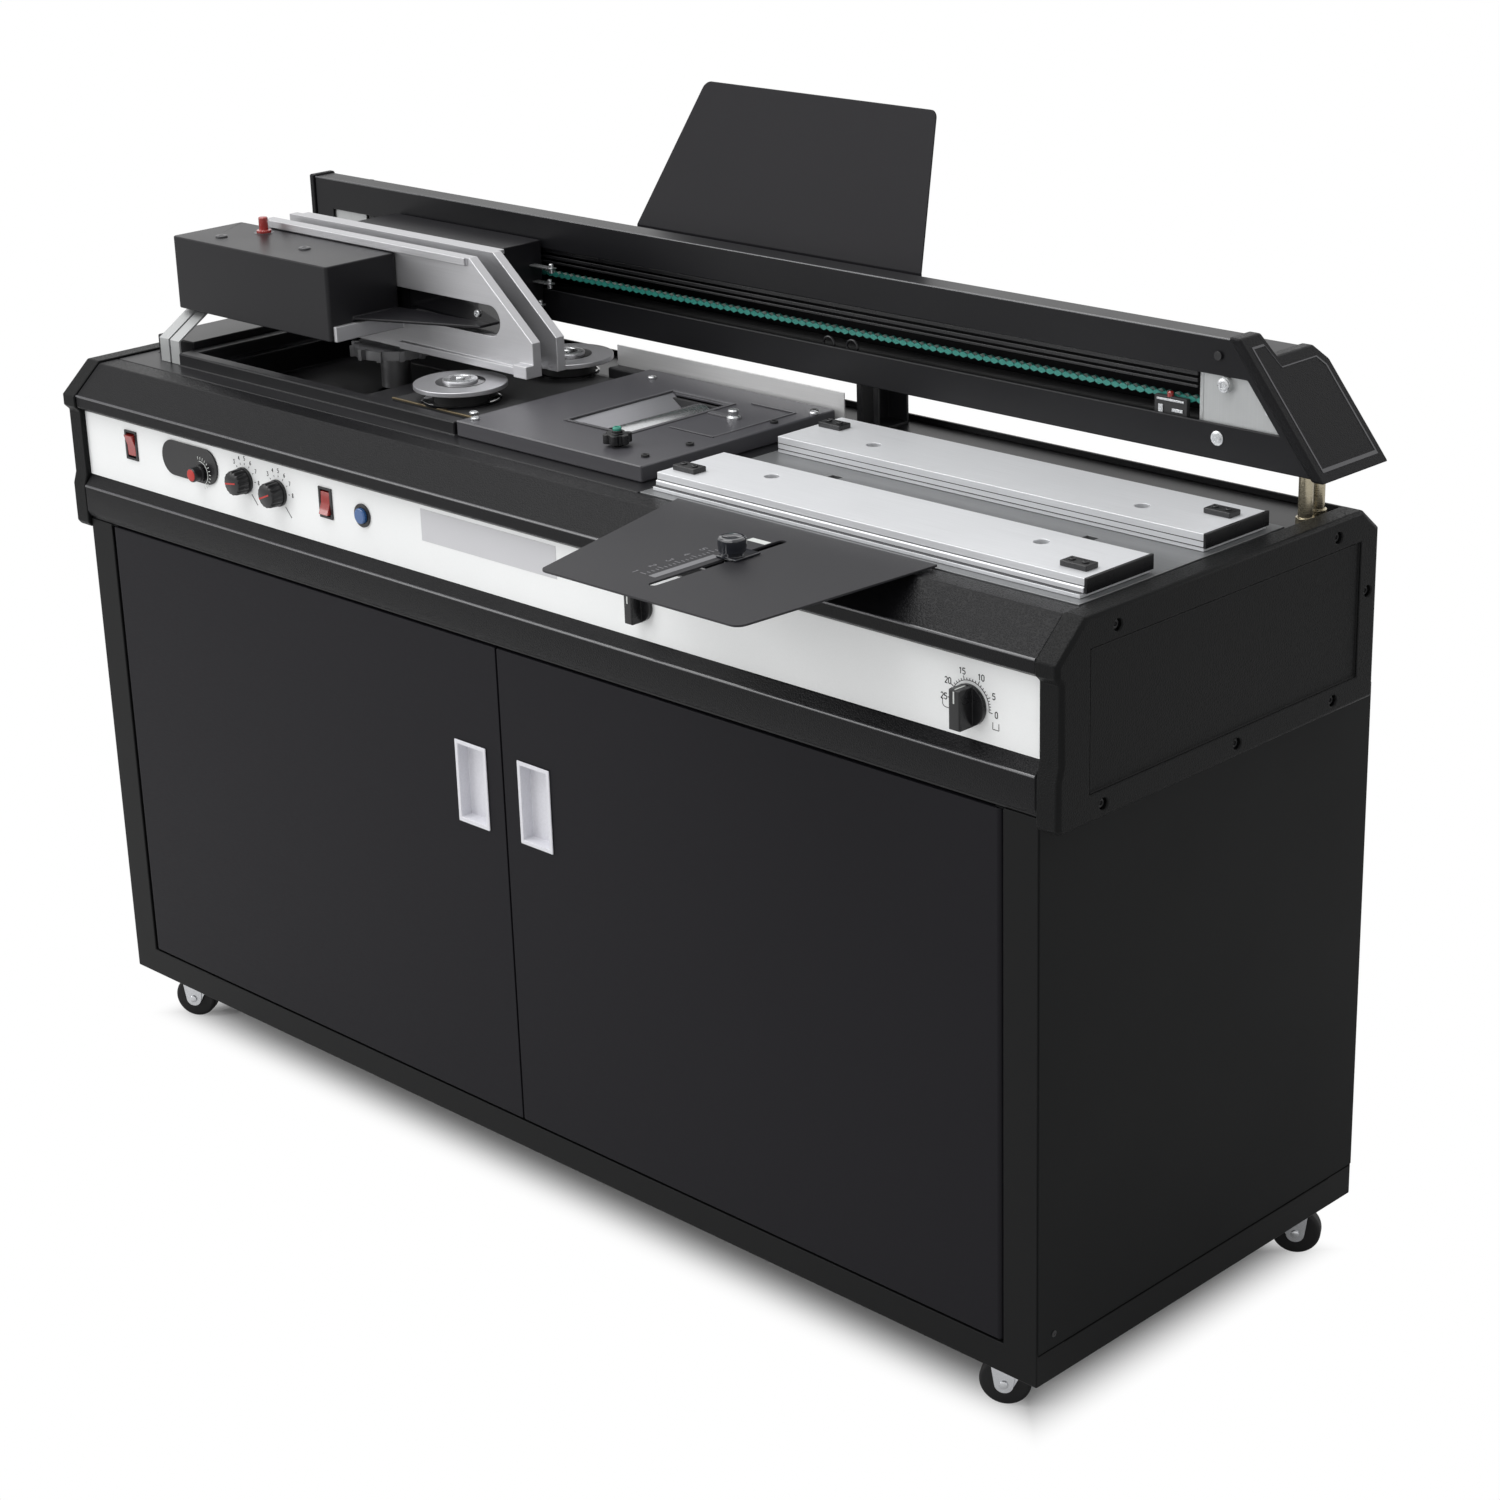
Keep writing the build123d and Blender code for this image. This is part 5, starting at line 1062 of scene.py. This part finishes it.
# ---------------------------------------------------------------- back
def back_details():
    """Pins of the mains inlet and the screws along the rear wall."""
    wall = extent("chassis_pan")[1][1] - 35
    pins = Shape()
    for x, z in ((-572, 637), (-566, 642), (-560, 637)):
        pins.bar((x - 1.2, x + 1.2), (wall - 17, wall - 3), (z - 1.8, z + 1.8))
    pins.piece("inlet_pins", race_chrome, "zinc")
    screws = Shape()
    for x in np.linspace(-640, 640, 9):
        for z in (612, 740):
            screws.cap_screw((x, wall, z), 1, 4.5, 2.2)
    screws.piece("rear_screws", oxide_black, "black_screws")


back_details()


# ---------------------------------------------------------------- drive chain
def chain_links():
    """Roller chain on its loop: the loop's point at distance s is on the upper run, round the
    right sprocket, on the lower run or round the left one; each link's outline is turned into
    the loop's tangent there, and all links are worked out at once."""
    left, right, level, radius, y = -630.0, 587.0, 874.0, 21.5, 128.0
    count = 270
    span = right - left
    half = math.pi * radius
    total = 2 * span + 2 * half
    s = (np.arange(count) + 0.5) * total / count
    legs = [s < span, s < span + half, s < 2 * span + half]
    round_right = np.pi / 2 - (s - span) / radius
    round_left = -np.pi / 2 - (s - 2 * span - half) / radius
    x = np.select(
        legs,
        [left + s, right + radius * np.cos(round_right), right - (s - span - half)],
        left + radius * np.cos(round_left),
    )
    z = np.select(
        legs,
        [level + radius, level + radius * np.sin(round_right), level - radius],
        level + radius * np.sin(round_left),
    )
    right_tangent, left_tangent = round_right - np.pi / 2, round_left - np.pi / 2
    angle = np.select(legs, [0 * s, right_tangent, 0 * s + np.pi], left_tangent)
    c, d = np.cos(angle)[:, None], np.sin(angle)[:, None]
    every_other = 0.5 * (np.arange(count) % 2)

    circle = ray(np.arange(0, 360, 45))
    waist = np.array([0.55, 0.72, 1.0, 0.72, 0.55, 0.72, 1.0, 0.72])
    plate = circle * np.stack([0 * waist + 0.55 * total / count, 2.9 * waist], 1)
    # the plates' teal and the rollers' near-white are painted reflection and highlight on a steel
    # chain
    for name, finish, outline, places, replaced in (
        ("chain_plates", chain_painted_reflection_teal, plate, [(-3.6, -2.4), (2.4, 3.6)], ["drive_chain"]),
        ("chain_rollers", roller_painted_highlight_white, 2.7 * circle, [(-2.2, 2.2)], []),
    ):
        u, v = outline.T
        links = np.stack([x[:, None] + u * c - v * d, z[:, None] + u * d + v * c], -1)
        shape = Shape()
        for low, high in places:
            shift = y + every_other * np.sign(low + high)
            shape.prisms(links, 1, shift + low, shift + high)
        shape.piece(name, finish, "chain_steel", replaces=replaced)


chain_links()


# ---------------------------------------------------------------- studio
def studio_floor():
    """Pale floor that keeps the object's shadow, and that the camera sees turn white from the
    cabinet's foot outwards."""
    half = 14.0
    mesh = bpy.data.meshes.new("studio_floor")
    corners = [(-half, -half, 0), (half, -half, 0), (half, half, 0), (-half, half, 0)]
    mesh.from_pydata(corners, [], [(0, 1, 2, 3)])
    floor = bpy.data.objects.new("studio_floor", mesh)
    bpy.context.scene.collection.objects.link(floor)
    paint = Finish("floor_paint", (0.86, 0.86, 0.86), 0.7, specular=0.1)
    mesh.materials.append(paint.material)
    edge = extent("cabinet_frame")[1] * MM
    past_side = paint.axis("X").maths("ABSOLUTE") - edge[0]
    past_front = paint.axis("Y").maths("ABSOLUTE") - edge[1]
    away = past_side.maths("MAXIMUM", past_front)
    white = paint.node("Emission", values={"Color": WHITE, "Strength": 1.0})
    share = away.fade(-0.075, 0.005) * paint.node("LightPath", out="Is Camera Ray")
    shaded = Signal(paint, paint.shader.outputs[0])
    faded = paint.node("MixShader", values={0: share, 1: shaded, 2: white})
    paint.link(paint.tree.nodes["Material Output"].inputs["Surface"], faded)


def studio_world():
    """White surroundings to the camera, in mirrors and through glass, and softer as a light."""
    world = bpy.data.worlds.new("studio_world")
    bpy.context.scene.world = world
    world.use_nodes = True
    air = Grower(world.node_tree)
    kinds = ("Camera", "Glossy", "Transmission")
    seen, mirrored, through = (air.node("LightPath", out=f"Is {kind} Ray") for kind in kinds)
    shown = seen.maths("MAXIMUM", mirrored).maths("MAXIMUM", through)
    levels = {"Value": shown, "To Min": 0.55, "To Max": 1.0}
    sky = air.tree.nodes["Background"]
    air.link(sky.inputs["Color"], WHITE)
    air.link(sky.inputs["Strength"], air.node("MapRange", values=levels, out="Result"))


aim_camera(
    place=(2.194941, -2.067968, 1.566958),
    azimuth=0.791255,
    elevation=0.363363,
    roll=-0.031080,
    focal=75.976,
)
studio_floor()
studio_world()
soft_lamp("top_lamp", place=(-0.6, -0.9, 3.4), target=(0, 0, 0.8), size=(3.2, 2.2), power=75)
soft_lamp("front_lamp", place=(-2.6, -3.2, 1.9), target=(0, 0, 0.6), size=(2.0, 2.0), power=45)
bpy.context.scene.view_settings.view_transform = "Standard"
